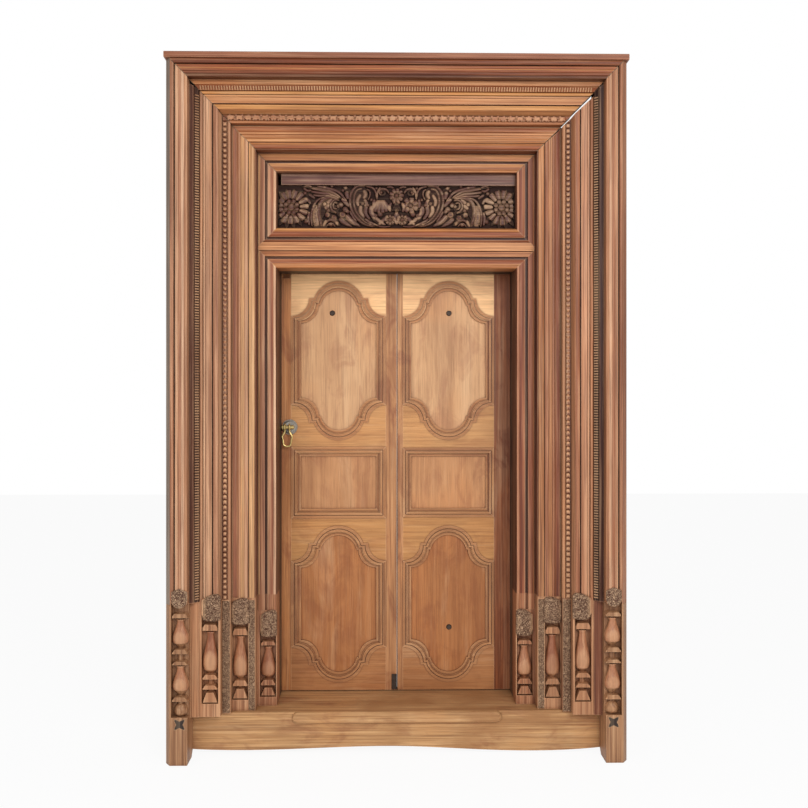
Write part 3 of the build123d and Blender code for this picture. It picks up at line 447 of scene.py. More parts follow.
def timber(name, axis, base, seed=0.0, **finish):
    """Timber of one ground colour."""
    return weather(Nodes(name), axis, base, seed, **finish)


def within(n, place, low, high):
    """1 between two values of a coordinate, 0 outside."""
    return n.math("MULTIPLY", n.math("GREATER_THAN", place, low), n.math("LESS_THAN", place, high))


def banded(name, axis, bands, seed=0.0, mitred=True, tint=(1.0, 1.0, 1.0), foot=None, shade_depths=None,
           flush_pad=None, bevel="brown", **finish):
    """A moulded board whose mouldings are picked out each in its own ground tone, partly the wood's own
    and partly painted shade in grooves and painted highlights on beads.

    Bands run inwards as (inner edge in mm, tone), after the board's outer edge. An edge is the
    distance from the centre line on an upright, from the mitre's origin on a head, and the
    height on the transom. Foot is the tone of an upright's plain foot, the depth range after it
    is where its inner side is painted dark as shade, and flush_pad where a pad lies in its face.
    """
    n = Nodes(name)
    side = n.math("ABSOLUTE", n.place("x"))
    rise = n.math("SUBTRACT", n.place("z"), MITRE)
    place = side if axis == "z" else rise if mitred else n.place("z")
    low, high = bands[-1][0] / 1000, bands[0][0] / 1000
    share = n.math("DIVIDE", n.math("SUBTRACT", place, low), high - low)
    stops = []
    for edge, tone in reversed(bands[1:]):
        colour = TONES[bevel if tone == "bevel" else tone]
        colour = tuple(part * factor for part, factor in zip(colour, tint))
        stops.append(((edge / 1000 - low) / (high - low), colour))
    colour = n.ramp(share, stops, "CONSTANT")
    if foot:
        plain = n.math("LESS_THAN", n.place("z"), FOOT_TOP)
        colour = n.blend(plain, colour, TONES[foot])
    if mitred:
        gap = n.math("ABSOLUTE", n.math("SUBTRACT", rise, side))
        line = n.math("MULTIPLY", n.math("LESS_THAN", gap, 0.0018), 0.9)
        colour = n.blend(line, colour, srgb(44, 24, 16))
    # Painted shade: the board darkened over a range of depth behind its front.
    if shade_depths:
        colour = n.blend(within(n, n.place("y"), *shade_depths), colour, srgb(50, 30, 21))
    if flush_pad:
        inner, outer, bottom, top = (edge / 1000 for edge in flush_pad)
        spot = n.math("MULTIPLY", within(n, side, inner, outer), within(n, n.place("z"), bottom, top))
        spot = n.math("MULTIPLY", spot, n.math("LESS_THAN", n.place("y"), FRONT + 0.0015))
        finish["worms"] = spot
        colour = n.blend(spot, colour, tuple(bpy.context.scene.temple_door_timber.stipple))
    return weather(n, axis, colour, seed, **finish)


def leaf_timber(name, axis, base, band, seed, **finish):
    """Leaf timber whose bands round the openings are darker than its flat face."""
    n = Nodes(name)
    off_face = n.math("ABSOLUTE", n.math("SUBTRACT", n.place("y"), LEAF_FACE))
    raised = n.math("MULTIPLY", n.math("GREATER_THAN", off_face, 0.0009),
                    n.math("LESS_THAN", off_face, 0.009))
    return weather(n, axis, n.blend(raised, base, band), seed, **finish)


def metal(name, colour, rough, tarnish):
    """Old cast metal with darker tarnish in its hollows."""
    n = Nodes(name)
    cloud = n.noise(n.stretch((1, 1, 1)), 60.0, 4.0)
    mixed = n.blend(n.ramp(cloud, ((0.35, 0.65), (0.65, 0.0))), colour, tarnish)
    soot = tuple(0.4 * part for part in tarnish)
    mixed = n.cover(mixed, soot, n.crevice(0.006), ((0.3, 1.0), (0.8, 0.0)), 0.8)
    n.link(mixed, n.shader.inputs["Base Color"])
    n.shader.inputs["Metallic"].default_value = 0.75
    n.link(n.math("MULTIPLY_ADD", cloud, 0.3, rough - 0.15), n.shader.inputs["Roughness"])
    n.link(n.bump(cloud, 0.15, 0.0006), n.shader.inputs["Normal"])
    return n.material


def paint(names, material):
    """Gives CAD pieces their finish."""
    for name in names:
        for slot in NODES[name].material_slots:
            slot.material = material


# Shapes


def behind(depth):
    """Y of a face so many mm behind the front plane."""
    return FRONT + depth / 1000


def finish_piece(name, shape, body, material, smooth=True):
    """Makes a finished object of a mesh in work, riding on its body."""
    bmesh.ops.recalc_face_normals(shape, faces=shape.faces)
    mesh = bpy.data.meshes.new(name)
    for face in shape.faces:
        face.smooth = smooth
    shape.to_mesh(mesh)
    shape.free()
    piece = bpy.data.objects.new(name, mesh)
    bpy.context.scene.collection.objects.link(piece)
    mesh.materials.append(material)
    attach(piece, body)
    return piece


def curve_point(points, share):
    """Point and direction along a smooth run through a few points, share from 0 to 1."""
    spans = len(points) - 1
    span = min(int(share * spans), spans - 1)
    t = share * spans - span
    before = points[max(span - 1, 0)]
    first, last = points[span], points[span + 1]
    after = points[min(span + 2, spans)]
    here, way = [], []
    for a, b, c, d in zip(before, first, last, after):
        m, k = (c - a) / 2, (d - b) / 2
        here.append((2 * t**3 - 3 * t**2 + 1) * b + (t**3 - 2 * t**2 + t) * m
                    + (-2 * t**3 + 3 * t**2) * c + (t**3 - t**2) * k)
        way.append((6 * t**2 - 6 * t) * b + (3 * t**2 - 4 * t + 1) * m
                   + (-6 * t**2 + 6 * t) * c + (3 * t**2 - 2 * t) * k)
    return here, way


def add_part(shape, part):
    """Adds a finished form to the piece in work."""
    mesh = bpy.data.meshes.new("form")
    part.to_mesh(mesh)
    part.free()
    shape.from_mesh(mesh)
    bpy.data.meshes.remove(mesh)


def carve_form(shape, points, width, rise, base, full=0.5, groove=0.0, round_end=0.35, sides=10,
               rings=12):
    """A domed leaf, petal or frond laid along a run of (x, z) points in mm on a front face.

    Base is the depth of the face in metres. Full says where along the run it is widest, groove
    how deep its midrib is cut, and round_end how blunt its ends are.
    """
    part = bmesh.new()
    made = bmesh.ops.create_uvsphere(part, u_segments=sides, v_segments=rings, radius=1.0)
    tail = round_end * (1 - full) / full
    peak = full**round_end * (1 - full)**tail
    for vert in made["verts"]:
        turn = math.acos(max(-1.0, min(1.0, vert.co.z)))
        share = min(max(turn / math.pi, 0.0), 1.0)
        ring = math.sin(turn) if 0 < share < 1 else 1.0
        across, front = vert.co.x / ring, vert.co.y / ring
        (x, z), (way_x, way_z) = curve_point(points, share)
        length = math.hypot(way_x, way_z) or 1.0
        girth = share**round_end * (1 - share)**tail / peak
        half = width / 2 * girth
        height = rise * (0.45 + 0.55 * girth) if 0 < share < 1 else 0.0
        cut = groove * math.exp(-(across / 0.28) ** 2) * girth if front < 0 else 0.0
        vert.co = Vector(((x - way_z / length * across * half) / 1000,
                          base + (front * height + cut) / 1000,
                          (z + way_x / length * across * half) / 1000))
    add_part(shape, part)


def knob(shape, x, z, radius, rise, base, sides=8, rings=5):
    """A low domed bead on a front face, its place and size in mm."""
    part = bmesh.new()
    made = bmesh.ops.create_uvsphere(part, u_segments=sides, v_segments=rings, radius=1.0)
    for vert in made["verts"]:
        across, up, front = vert.co
        vert.co = Vector(((x + across * radius) / 1000, base - front * rise / 1000,
                          (z + up * radius) / 1000))
    add_part(shape, part)


def rosette(shape, x, z, inner, outer, count, base, rise, width, twist=0.0, groove=0.0):
    """A ring of petals about a button."""
    for step in range(count):
        angle = 2 * math.pi * (step + twist) / count
        run = [(x + reach * math.cos(angle), z + reach * math.sin(angle)) for reach in (inner, outer)]
        carve_form(shape, run, width, rise, base, full=0.62, groove=groove, sides=8, rings=8)
    knob(shape, x, z, inner * 0.9, rise * 1.1, base)


# Colours of the mouldings

FOOT_TOP = 0.5495
TONES = {
    "bone": srgb(226, 184, 154), "straw": srgb(216, 168, 122), "tan": srgb(206, 158, 126),
    "fawn": srgb(194, 142, 108), "brown": srgb(178, 124, 94), "russet": srgb(162, 102, 76),
    "chestnut": srgb(134, 80, 58), "umber": srgb(106, 64, 46), "soot": srgb(70, 40, 30),
    "bevel_sheen": srgb(150, 134, 124), "foot": srgb(178, 134, 102)}

# Band tones run from the outer edge inwards: the dark ones are partly painted shade in grooves and on
# sides turned from the light, the pale ones partly painted highlights on beads and edges.
JAMB_BANDS = {
    "outer": ((800, None), (780, "bevel"), (766, "brown"), (761.5, "soot"), (751, "tan"),
              (741, "brown"), (730, "bone"), (719, "fawn")),
    "dentil": ((721, None), (704, "umber"), (689, "soot")),
    "second": ((691, None), (677, "fawn"), (674.5, "chestnut"), (667.2, "tan"), (666, "chestnut"),
               (655, "tan"), (645.5, "fawn"), (641.5, "umber"), (625, "brown"), (615, "tan")),
    "bead": ((617, None), (597, "chestnut"), (586, "fawn")),
    "third": ((588, None), (584, "soot"), (572, "russet"), (562, "brown"), (555.5, "fawn"),
              (543, "straw"), (528.7, "tan"), (526.5, "soot"), (506, "straw"), (502, "chestnut")),
    "inner": ((504, None), (499.5, "chestnut"), (494, "straw"), (476, "brown"), (466.5, "umber"),
              (456, "fawn"), (446, "russet"), (436, "bone"), (432, "umber")),
}
# The head's outer bands are darker than the uprights', partly as painted shade under the cap.
HEAD_BANDS = {
    "outer": ((790, None), (766, "chestnut"), (761.5, "soot"), (751, "russet"), (747, "tan"),
              (741, "russet"), (730, "chestnut"), (719, "umber")),
    "dentil": ((721, None), (704, "fawn"), (689, "russet")),
    "second": ((691, None), (677, "straw"), (674.5, "chestnut"), (667.2, "tan"), (666, "russet"),
               (656, "tan"), (645.5, "fawn"), (641.5, "chestnut"), (625, "straw"), (615, "tan")),
    "bead": ((617, None), (597, "russet"), (586, "brown")),
    "third": ((588, None), (584, "umber"), (574, "russet"), (562, "brown"), (555.5, "tan"),
              (543, "fawn"), (528.7, "tan"), (526.5, "umber"), (516, "fawn"), (506, "russet"),
              (502, "chestnut")),
    "inner": ((504, None), (499.5, "chestnut"), (488, "tan"), (476, "fawn"), (466.5, "umber"),
              (456, "tan"), (446, "brown"), (436, "fawn"), (432, "umber")),
}
TRANSOM_BANDS = ((1874, None), (1860, "straw"), (1840, "russet"), (1831, "umber"), (1822.5, "russet"),
                 (1791, "bone"), (1787.5, "chestnut"), (1770, "fawn"), (1761.5, "umber"),
                 (1745, "russet"), (1727, "tan"))


# Operators


class DoorFrameFinish(bpy.types.Operator):
    """Finish the boards of the frame, each moulding with its own colour"""
    bl_idname = "temple_door.frame_finish"
    bl_label = "Frame Timber"

    def execute(self, context):
        s = context.scene.temple_door_timber
        seed = 0.0
        feet = {"outer": "foot", "second": "fawn", "third": "fawn", "inner": "brown"}
        # The inner boards' sides are painted dark as shade deep in the opening.
        extras = {"outer": {"flush_pad": FLUSH_PAD}, "inner": {"shade_depths": (0.075, 0.14)}}
        # The left outer bevel's grey is a painted reflection of light; the right one keeps the brown.
        bevels = {"left": "bevel_sheen", "right": "brown"}
        # Painted shade: the right upright's boards are tinted darker than the left's, and the feet of
        # its strips too.
        shaded = {"outer": (0.9, 0.85, 0.86), "dentil": (0.5, 0.32, 0.23), "second": (0.93, 0.83, 0.81),
                  "bead": (1.0, 1.0, 1.0), "third": (0.7, 0.55, 0.52), "inner": (0.69, 0.5, 0.45)}
        for board, bands in JAMB_BANDS.items():
            kind = "strip" if board in ("dentil", "bead") else "jamb"
            for side in SIDES:
                seed += 1.0
                tint = shaded[board] if side == "right" else (1.0, 1.02, 1.08)
                foot = feet.get(board, "fawn" if side == "left" else "chestnut")
                paint([f"{side}_{board}_{kind}"],
                      banded(f"{side}_{board}_teak", "z", bands, seed, bevel=bevels[side], foot=foot,
                             tint=tint, streaks=0.72, grime=0.65, grain=1.25,
                             **extras.get(board, {})))
        heads = {"outer": "outer_head", "dentil": "head_dentil_strip", "second": "second_head",
                 "bead": "head_bead_strip", "third": "third_head", "inner": "inner_head"}
        for board, bands in HEAD_BANDS.items():
            seed += 1.0
            paint([heads[board]],
                  banded(f"{board}_head_teak", "x", bands, seed, tint=(0.93, 0.77, 0.56), streaks=0.6,
                         grime=0.45, grain=1.2))
        carcass = srgb(158, 122, 92)
        for side in SIDES:
            seed += 1.0
            paint([f"{side}_rear_post", f"{side}_lining", f"{side}_rear_battens"],
                  timber(f"{side}_carcass", "z", carcass, seed, wear=0.15, rough=0.7))
        paint(["rear_head", "head_rear_battens"],
              timber("head_carcass", "x", carcass, 24.0, wear=0.15, rough=0.7))
        paint(["cap_board"], timber("cap_timber", "x", srgb(158, 102, 78), 21.0, streaks=0.7))
        # The transom is painted dark as shade beyond a depth behind its front.
        paint(["transom"], banded("transom_teak", "x", TRANSOM_BANDS, 25.0, mitred=False,
                                  tint=(0.88, 0.66, 0.45), shade_depths=(0.06, 0.14), streaks=0.6,
                                  grime=0.5, grain=1.2))
        paint(["sill"], timber("sill_timber", "x", tuple(s.sill), 26.0, streaks=0.45, rough=0.65,
                               blotch=1.0, stain=0.75))
        paint(["carved_frieze"], timber("frieze_ground", "x", tuple(0.3 * c for c in s.frieze), 27.0,
                                        groove=0.012, grime=0.95, grain=0.3, rough=0.9, wear=0.1))
        paint(["frieze_top_board"], timber("frieze_board_timber", "x", srgb(122, 84, 78), 28.0,
                                           streaks=0.8, grain=1.5, stain=0.8))
        paint(["frieze_backboard"], timber("backboard_timber", "x", srgb(96, 66, 58), 29.0))
        paint(["left_star_inlay", "right_star_inlay"],
              timber("star_timber", "z", srgb(58, 46, 42), 30.0))
        return {"FINISHED"}


class DoorLeafFinish(bpy.types.Operator):
    """Finish the two leaves and the latch"""
    bl_idname = "temple_door.leaf_finish"
    bl_label = "Leaf Timber"

    def execute(self, context):
        s = context.scene.temple_door_timber
        band = tuple(s.leaf_band)
        # The right hinge stile's darker base is painted shade from the right jamb.
        stiles = {"left_hinge_stile": srgb(196, 134, 86), "left_meeting_stile": tuple(s.stile),
                  "right_hinge_stile": srgb(154, 92, 58), "right_meeting_stile": tuple(s.stile)}
        # The top rail's pale base is painted light against the transom's shade; the rails below darken
        # towards the bottom.
        rails = {"top_rail": srgb(252, 206, 158), "lock_rail": tuple(s.rail),
                 "middle_rail": srgb(198, 144, 92), "bottom_rail": srgb(184, 128, 84)}
        panels = {"upper_panel": tuple(s.panel), "middle_panel": srgb(200, 146, 104),
                  "lower_panel": srgb(180, 119, 73)}
        seed = 40.0
        for name, base in stiles.items():
            seed += 1.0
            paint([name], leaf_timber(f"{name}_timber", "z", base, band, seed, streaks=0.6,
                                      fine=0.6, grain=0.9, stain=0.95, blotch=0.6, groove=0.008,
                                      grime=0.85, hollow=(0.5, 0.93)))
        for leaf in SIDES:
            for rail, base in rails.items():
                seed += 1.0
                paint([f"{leaf}_{rail}"],
                      leaf_timber(f"{leaf}_{rail}_timber", "x", base, band, seed, streaks=0.2,
                                  fine=0.5, grain=0.5, stain=0.4, groove=0.008, grime=0.85,
                                  hollow=(0.5, 0.93)))
            for panel, base in panels.items():
                seed += 1.0
                paint([f"{leaf}_{panel}"],
                      timber(f"{leaf}_{panel}_timber", "z", base, seed, streaks=0.16, groove=0.02,
                             fine=0.35, grain=0.45, stain=0.5, blotch=0.4, grime=0.9))
        pewter = metal("old_pewter", srgb(172, 166, 156), 0.5, srgb(108, 100, 90))
        brass = metal("old_brass", srgb(226, 200, 132), 0.35, srgb(178, 150, 92))
        iron = metal("old_iron", srgb(82, 70, 62), 0.6, srgb(48, 38, 32))
        paint(["latch_rose"], pewter)
        paint(["latch_bar", "latch_bail"], brass)
        paint(["meeting_plate", "left_leaf_bolts", "right_leaf_bolts"], iron)
        return {"FINISHED"}


class DoorBeads(bpy.types.Operator):
    """Set the round beads in the uprights' bead strips"""
    bl_idname = "temple_door.beads"
    bl_label = "Bead Rows"

    def execute(self, context):
        s = context.scene.temple_door_carving
        pitch, radius = 1000 * s.bead_pitch, 1000 * s.bead_radius
        pale = timber("bead_timber", "z", srgb(188, 134, 102), 61.0, groove=0.008, grime=0.85,
                      streaks=0.3)
        for side, way in SIDES.items():
            shape = bmesh.new()
            level = BEAD_ROW[0] + pitch / 2
            while level < BEAD_ROW[1]:
                knob(shape, way * BEAD_LINE, level, radius, BEAD_RISE, behind(BEAD_FACE))
                level += pitch
            finish_piece(f"{side}_bead_row", shape, "frame", pale)
        return {"FINISHED"}


class DoorBosses(bpy.types.Operator):
    """Carve the row of small leaf bosses on the head"""
    bl_idname = "temple_door.bosses"
    bl_label = "Head Bosses"

    def execute(self, context):
        pitch = 1000 * context.scene.temple_door_carving.boss_pitch
        shape = bmesh.new()
        place = -BOSS_START + pitch / 2
        while place < BOSS_REACH:
            if place > -BOSS_REACH:
                rosette(shape, place, 1000 * MITRE + BEAD_LINE, inner=3.0, outer=11.5, count=5,
                        base=behind(BOSS_FACE), rise=2.6, width=9.0, twist=0.25, groove=1.0)
            place += pitch
        wood = timber("boss_timber", "x", srgb(158, 106, 82), 62.0, groove=0.006, grime=0.55, wear=0.3)
        finish_piece("head_boss_row", shape, "frame", wood)
        return {"FINISHED"}


class DoorCrossCuts(bpy.types.Operator):
    """Cut the fine teeth along the sloped dentil strips"""
    bl_idname = "temple_door.cross_cuts"
    bl_label = "Dentil Teeth"

    def execute(self, context):
        pitch = context.scene.temple_door_carving.cut_pitch
        slope = Vector(TOOTH_SLOPE).normalized()
        line, depth = TOOTH_LINE / 1000, behind(TOOTH_FACE)
        low, high = (end / 1000 for end in TOOTH_ROW)
        places = range(int((high - low) / pitch))
        for side, way in SIDES.items():
            # The right teeth are coloured darker as painted shade.
            self.row(f"{side}_dentil_teeth",
                     [Vector((way * line, depth, low + pitch * (k + 0.5))) for k in places],
                     Vector((way * slope.x, slope.y, 0)), Vector((way * slope.y, -slope.x, 0)),
                     Vector((0, 0, 1)), pitch,
                     srgb(134, 90, 64) if side == "left" else srgb(104, 66, 46))
        reach = TOOTH_REACH / 1000
        places = range(int(2 * reach / pitch))
        self.row("head_dentil_teeth",
                 [Vector((pitch * (k + 0.5) - reach, depth, MITRE + line)) for k in places],
                 Vector((0, slope.y, slope.x)), Vector((0, -slope.x, slope.y)),
                 Vector((1, 0, 0)), pitch, srgb(172, 126, 94))
        return {"FINISHED"}

    def row(self, name, places, across, out, run, pitch, colour):
        """Teeth at their places, each lying across the strip and standing out of it."""
        shape = bmesh.new()
        rand = random.Random(name)
        axes = Matrix((across, out, run)).transposed()
        for place in places:
            worn = rand.uniform(0.8, 1.1)
            tooth = bmesh.new()
            size = Matrix.Diagonal((TOOTH_LONG / 1000, TOOTH_HIGH / 1000 * worn, pitch * 0.5, 1.0))
            bmesh.ops.create_cube(tooth, size=1.0, matrix=size)
            bmesh.ops.bevel(tooth, geom=tooth.edges[:], offset=TOOTH_EDGE / 1000, affect="EDGES",
                            segments=1, profile=0.5, material=-1)
            seat = Matrix.Translation(place + out * TOOTH_LIFT / 1000)
            bmesh.ops.transform(tooth, verts=tooth.verts, matrix=seat @ axes.to_4x4())
            add_part(shape, tooth)
        wood = timber(f"{name}_timber", "z", colour, 63.0, groove=0.007, grime=0.9, streaks=0.3)
        finish_piece(name, shape, "frame", wood, smooth=False)


class DoorFrieze(bpy.types.Operator):
    """Carve flowers, feathers and fronds over the frieze's relief"""
    bl_idname = "temple_door.frieze"
    bl_label = "Frieze Carving"

    def execute(self, context):
        s = context.scene
        rise = 1000 * s.temple_door_carving.frieze_rise
        shape = bmesh.new()
        base = behind(FRIEZE_FACE)
        rand = random.Random(5)
        for way in (1, -1):
            for points, width, height, full, groove in FRIEZE_FORMS:
                run = [(way * u, FRIEZE_LEVEL + v) for u, v in points]
                carve_form(shape, run, width, rise * height, base, full, groove,
                           rings=8 + 2 * len(points))
            for u, v, radius, height in FRIEZE_KNOBS:
                knob(shape, way * u, FRIEZE_LEVEL + v, radius, rise * height, base)
            for _ in range(BODY_DOTS):
                u, v = rand.uniform(*BODY_ACROSS), rand.uniform(*BODY_UP)
                knob(shape, way * u, FRIEZE_LEVEL + v, 2.2, 2.6, base - rise * 0.0008, 6, 3)
            self.end_flower(shape, way, base, rise, rand)
        rosette(shape, 0, FRIEZE_LEVEL + 40, 9, 27, 9, base, rise, 14, groove=1.2)
        rosette(shape, 50, FRIEZE_LEVEL + 4, 9, 30, 7, base, rise, 19, twist=0.5, groove=1.5)
        for lean in SHELL_LEANS:
            run = [(SHELL_PLACE + lean * 0.25, FRIEZE_LEVEL + 24),
                   (SHELL_PLACE + lean * 0.7, FRIEZE_LEVEL),
                   (SHELL_PLACE + lean, FRIEZE_LEVEL - 29 + abs(lean) * 0.4)]
            carve_form(shape, run, 15, rise * 0.85, base, 0.6, 1.2)
        for u in (-24, 20):
            rosette(shape, u, FRIEZE_LEVEL - 49, 8, 19, 8, base, rise * 0.9, 11)
        wood = timber("frieze_carving_timber", "x", tuple(s.temple_door_timber.frieze), 64.0,
                      groove=0.012, grime=0.97, wear=0.38, streaks=0.3)
        finish_piece("frieze_carving", shape, "frame", wood)
        return {"FINISHED"}

    def end_flower(self, shape, way, base, rise, rand):
        """A many petalled flower, cut off by the frame on its outer side."""
        u, v = END_FLOWER
        for step in range(PETALS):
            angle = 2 * math.pi * (step + 0.4) / PETALS
            room = SIDE_ROOM / math.cos(angle) if math.cos(angle) > 0.05 else math.inf
            far = min(PETAL_REACH, room, RISE_ROOM / max(abs(math.sin(angle)), 0.01))
            far -= rand.uniform(0, 5)
            if far < PETAL_START + 12:
                continue
            run = [(way * (u + r * math.cos(angle)), FRIEZE_LEVEL + v + r * math.sin(angle))
                   for r in (PETAL_START, far)]
            carve_form(shape, run, PETAL_WIDTH, rise, base, 0.7, 2.2)
        for step in range(BUTTONS):
            angle = 2 * math.pi * (step + 0.5) / BUTTONS
            knob(shape, way * (u + BUTTON_RING * math.cos(angle)),
                 FRIEZE_LEVEL + v + BUTTON_RING * math.sin(angle), 9.5, rise * 1.15, base)
        knob(shape, way * u, FRIEZE_LEVEL + v, 14, rise * 1.2, base)


class DoorPads(bpy.types.Operator):
    """Carve the bulging leaves over the balusters, their skin cut into winding ridges"""
    bl_idname = "temple_door.pads"
    bl_label = "Leaf Pads"

    def execute(self, context):
        wood = timber("pad_timber", "z", tuple(context.scene.temple_door_timber.stipple), 65.0,
                      groove=0.006, grime=0.8, wear=0.5, rough=0.65, grain=0.4, worms=1.0)
        for side, way in SIDES.items():
            shape = bmesh.new()
            for place, low, high, half, face in PADS:
                self.leaf(shape, way, place, low, high, half, behind(face))
            finish_piece(f"{side}_pad_carving", shape, "frame", wood)
        return {"FINISHED"}

    def leaf(self, shape, way, place, low, high, half, face):
        """One leaf: square foot, full sides and a head that peaks towards the opening."""
        part = bmesh.new()
        made = bmesh.ops.create_uvsphere(part, u_segments=64, v_segments=44, radius=1.0)
        for vert in made["verts"]:
            turn = math.acos(max(-1.0, min(1.0, vert.co.z)))
            share = 1 - turn / math.pi
            ring = math.sin(turn)
            across, front = (vert.co.x / ring, vert.co.y / ring) if ring > 1e-4 else (0.0, 0.0)
            across = math.copysign(abs(across) ** 0.75, across)
            girth = min(1.0, share / 0.1) ** 0.5
            if share > 0.8:
                girth = math.sqrt(max(0.0, 1 - ((share - 0.8) / 0.2) ** 2.4))
            x = place + across * half * girth
            peak = PAD_PEAK * max(0.0, (share - 0.5) / 0.5) * (place - x) / half
            z = low + share * (high - low) + peak
            depth = PAD_RISE * abs(front) ** 0.5 * min(1.0, 1.25 * girth)
            cell = noise.noise(Vector((way * x / 5.0, z / 5.0, face)))
            ridge = PAD_RIDGE * (max(0.0, 1 - abs(cell) * 4.5) - 1)
            y = face - (depth + ridge) / 1000 if front < 0 else face + depth / 4000
            vert.co = Vector((way * x / 1000, y, z / 1000))
        add_part(shape, part)


class DoorVases(bpy.types.Operator):
    """Round out the balusters' vases"""
    bl_idname = "temple_door.vases"
    bl_label = "Baluster Vases"

    def execute(self, context):
        wood = timber("vase_timber", "z", srgb(182, 126, 96), 67.0, groove=0.014, grime=0.85,
                      wear=0.35, rough=0.4, streaks=0.4, grain=0.7, stain=0.9)
        for side, way in SIDES.items():
            shape = bmesh.new()
            for place, low, high, face in VASES:
                axis = Vector((way * place / 1000, behind(face + VASE_SET_BACK), 0))
                part = bmesh.new()
                verts = [part.verts.new(axis + Vector((VASE_RADIUS * radius / 1000, 0,
                                                       (low + (high - low) * share) / 1000)))
                         for radius, share in VASE_OUTLINE]
                edges = [part.edges.new(pair) for pair in zip(verts, verts[1:])]
                bmesh.ops.spin(part, geom=verts + edges, cent=axis, axis=(0, 0, 1),
                               angle=2 * math.pi, steps=28, use_merge=True)
                bmesh.ops.remove_doubles(part, verts=part.verts, dist=1e-5)
                for vert in part.verts:
                    vert.co.y = axis.y + (vert.co.y - axis.y) * VASE_FLATNESS
                add_part(shape, part)
            finish_piece(f"{side}_vases", shape, "frame", wood)
        return {"FINISHED"}


class DoorWormStrips(bpy.types.Operator):
    """Carve the winding grooves on the narrow strips beside the balusters"""
    bl_idname = "temple_door.worm_strips"
    bl_label = "Textured Strips"

    def execute(self, context):
        wood = timber("strip_carving_timber", "z", tuple(context.scene.temple_door_timber.stipple),
                      66.0, groove=0.005, grime=0.8, wear=0.15, rough=0.65, grain=0.4, worms=1.0)
        for side, way in SIDES.items():
            shape = bmesh.new()
            for inner, outer, low, high, back in WORM_STRIPS:
                part = bmesh.new()
                wide, tall = outer - inner, high - low
                made = bmesh.ops.create_grid(part, x_segments=int(wide / 1.5),
                                             y_segments=int(tall / 1.8), size=0.5)
                for vert in made["verts"]:
                    x = way * ((inner + outer) / 2 + vert.co.x * wide)
                    z = (low + high) / 2 + vert.co.y * tall
                    rim = max(abs(vert.co.x), abs(vert.co.y)) > 0.499
                    warp = noise.noise(Vector((x / 14, z / 16, 3.0)))
                    cell = noise.noise(Vector((x / 5.2 + warp, z / 7.0, 7.0)))
                    height = 0.2 if rim else 0.6 + 2.6 * max(0.0, 1 - abs(cell) * 4.0)
                    vert.co = Vector((x / 1000, behind(back - height), z / 1000))
                rims = [edge for edge in part.edges if edge.is_boundary]
                skirt = bmesh.ops.extrude_edge_only(part, edges=rims)["geom"]
                drop = [item for item in skirt if isinstance(item, bmesh.types.BMVert)]
                for vert in drop:
                    vert.co.y = behind(back + STRIP_SKIRT)
                bmesh.ops.holes_fill(part, edges=[edge for edge in part.edges if edge.is_boundary])
                add_part(shape, part)
            finish_piece(f"{side}_strip_carving", shape, "frame", wood)
        return {"FINISHED"}


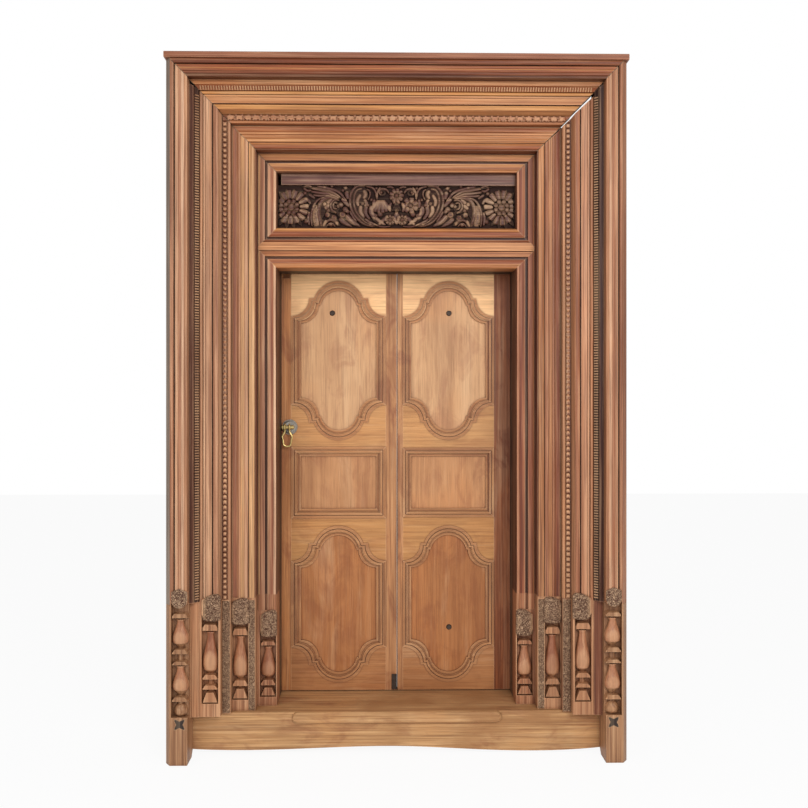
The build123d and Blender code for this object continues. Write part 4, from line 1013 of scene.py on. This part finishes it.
class DoorStage(bpy.types.Operator):
    """Set the floor, the lights and the camera"""
    bl_idname = "temple_door.stage"
    bl_label = "Floor, Lights and Camera"

    def execute(self, context):
        s = context.scene.temple_door_stage
        scene = context.scene
        mesh = bpy.data.meshes.new("studio_floor")
        shape = bmesh.new()
        bmesh.ops.create_grid(shape, x_segments=2, y_segments=2, size=9.0)
        shape.to_mesh(mesh)
        shape.free()
        floor = bpy.data.objects.new("studio_floor", mesh)
        scene.collection.objects.link(floor)
        n = Nodes("studio_floor_paint")
        n.shader.inputs["Base Color"].default_value = (0.96, 0.96, 0.96, 1.0)
        n.shader.inputs["Roughness"].default_value = 0.9
        glow = n.add("ShaderNodeEmission")
        glow.inputs["Strength"].default_value = 1.0
        path = n.add("ShaderNodeLightPath")
        seen = n.math("MAXIMUM", path.outputs["Is Camera Ray"], path.outputs["Is Glossy Ray"])
        mixed = n.add("ShaderNodeMixShader")
        n.link(n.math("MULTIPLY", seen, s.floor_white), mixed.inputs["Fac"])
        n.link(n.shader.outputs[0], mixed.inputs[1])
        n.link(glow.outputs[0], mixed.inputs[2])
        n.link(mixed.outputs[0], n.tree.nodes["Material Output"].inputs["Surface"])
        floor.data.materials.append(n.material)

        world = bpy.data.worlds.new("studio_sky")
        scene.world = world
        world.use_nodes = True
        tree = world.node_tree
        light = tree.nodes["Background"]
        light.inputs["Color"].default_value = (1.0, 1.0, 1.0, 1.0)
        light.inputs["Strength"].default_value = s.sky
        white = tree.nodes.new("ShaderNodeBackground")
        white.inputs["Color"].default_value = (1.0, 1.0, 1.0, 1.0)
        white.inputs["Strength"].default_value = 1.0
        path = tree.nodes.new("ShaderNodeLightPath")
        either = tree.nodes.new("ShaderNodeMath")
        either.operation = "MAXIMUM"
        tree.links.new(path.outputs["Is Camera Ray"], either.inputs[0])
        tree.links.new(path.outputs["Is Transmission Ray"], either.inputs[1])
        mix = tree.nodes.new("ShaderNodeMixShader")
        tree.links.new(either.outputs[0], mix.inputs["Fac"])
        tree.links.new(light.outputs[0], mix.inputs[1])
        tree.links.new(white.outputs[0], mix.inputs[2])
        tree.links.new(mix.outputs[0], tree.nodes["World Output"].inputs["Surface"])

        for name, place, share in LAMPS:
            data = bpy.data.lights.new(name, "AREA")
            data.shape = "SQUARE"
            data.size = LAMP_SIZE
            data.energy = s.key * share
            lamp = bpy.data.objects.new(name, data)
            lamp.location = place
            aim = Vector(LAMP_AIM) - Vector(place)
            lamp.rotation_euler = aim.to_track_quat("-Z", "Y").to_euler()
            scene.collection.objects.link(lamp)

        data = bpy.data.cameras.new("camera")
        data.sensor_width = 36.0
        data.lens = s.lens
        data.shift_x = s.shift_x
        data.shift_y = s.shift_y
        camera = bpy.data.objects.new("camera", data)
        camera.location = (s.camera_side, FRONT - s.camera_distance, s.camera_height)
        camera.rotation_euler = (math.radians(90), 0.0, -s.camera_turn)
        scene.collection.objects.link(camera)
        scene.camera = camera
        scene.view_settings.view_transform = "Standard"
        return {"FINISHED"}


class DoorPanel(bpy.types.Panel):
    """Lists the steps that dress the door"""
    bl_idname = "VIEW3D_PT_temple_door"
    bl_label = "Temple Door"
    bl_space_type = "VIEW_3D"
    bl_region_type = "UI"
    bl_category = "Temple Door"

    def draw(self, context):
        for step in STEPS:
            self.layout.operator(step.bl_idname)
        scene = context.scene
        for group in (scene.temple_door_timber, scene.temple_door_carving, scene.temple_door_stage):
            box = self.layout.box()
            for name in group.bl_rna.properties.keys():
                if name not in {"rna_type", "name"}:
                    box.prop(group, name)


STEPS = (DoorFrameFinish, DoorLeafFinish, DoorBeads, DoorBosses, DoorCrossCuts, DoorFrieze, DoorPads,
         DoorVases, DoorWormStrips, DoorStage)
CLASSES = (DoorStageSettings, DoorTimberSettings, DoorCarvingSettings, *STEPS, DoorPanel)


def register():
    for cls in CLASSES:
        bpy.utils.register_class(cls)
    bpy.types.Scene.temple_door_stage = bpy.props.PointerProperty(type=DoorStageSettings)
    bpy.types.Scene.temple_door_timber = bpy.props.PointerProperty(type=DoorTimberSettings)
    bpy.types.Scene.temple_door_carving = bpy.props.PointerProperty(type=DoorCarvingSettings)


def unregister():
    del bpy.types.Scene.temple_door_carving
    del bpy.types.Scene.temple_door_timber
    del bpy.types.Scene.temple_door_stage
    for cls in reversed(CLASSES):
        bpy.utils.unregister_class(cls)


def main():
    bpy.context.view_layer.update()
    register()
    bpy.ops.temple_door.frame_finish()
    bpy.ops.temple_door.leaf_finish()
    bpy.ops.temple_door.beads()
    bpy.ops.temple_door.bosses()
    bpy.ops.temple_door.cross_cuts()
    bpy.ops.temple_door.frieze()
    bpy.ops.temple_door.pads()
    bpy.ops.temple_door.vases()
    bpy.ops.temple_door.worm_strips()
    bpy.ops.temple_door.stage()


if __name__ == "__main__":
    main()
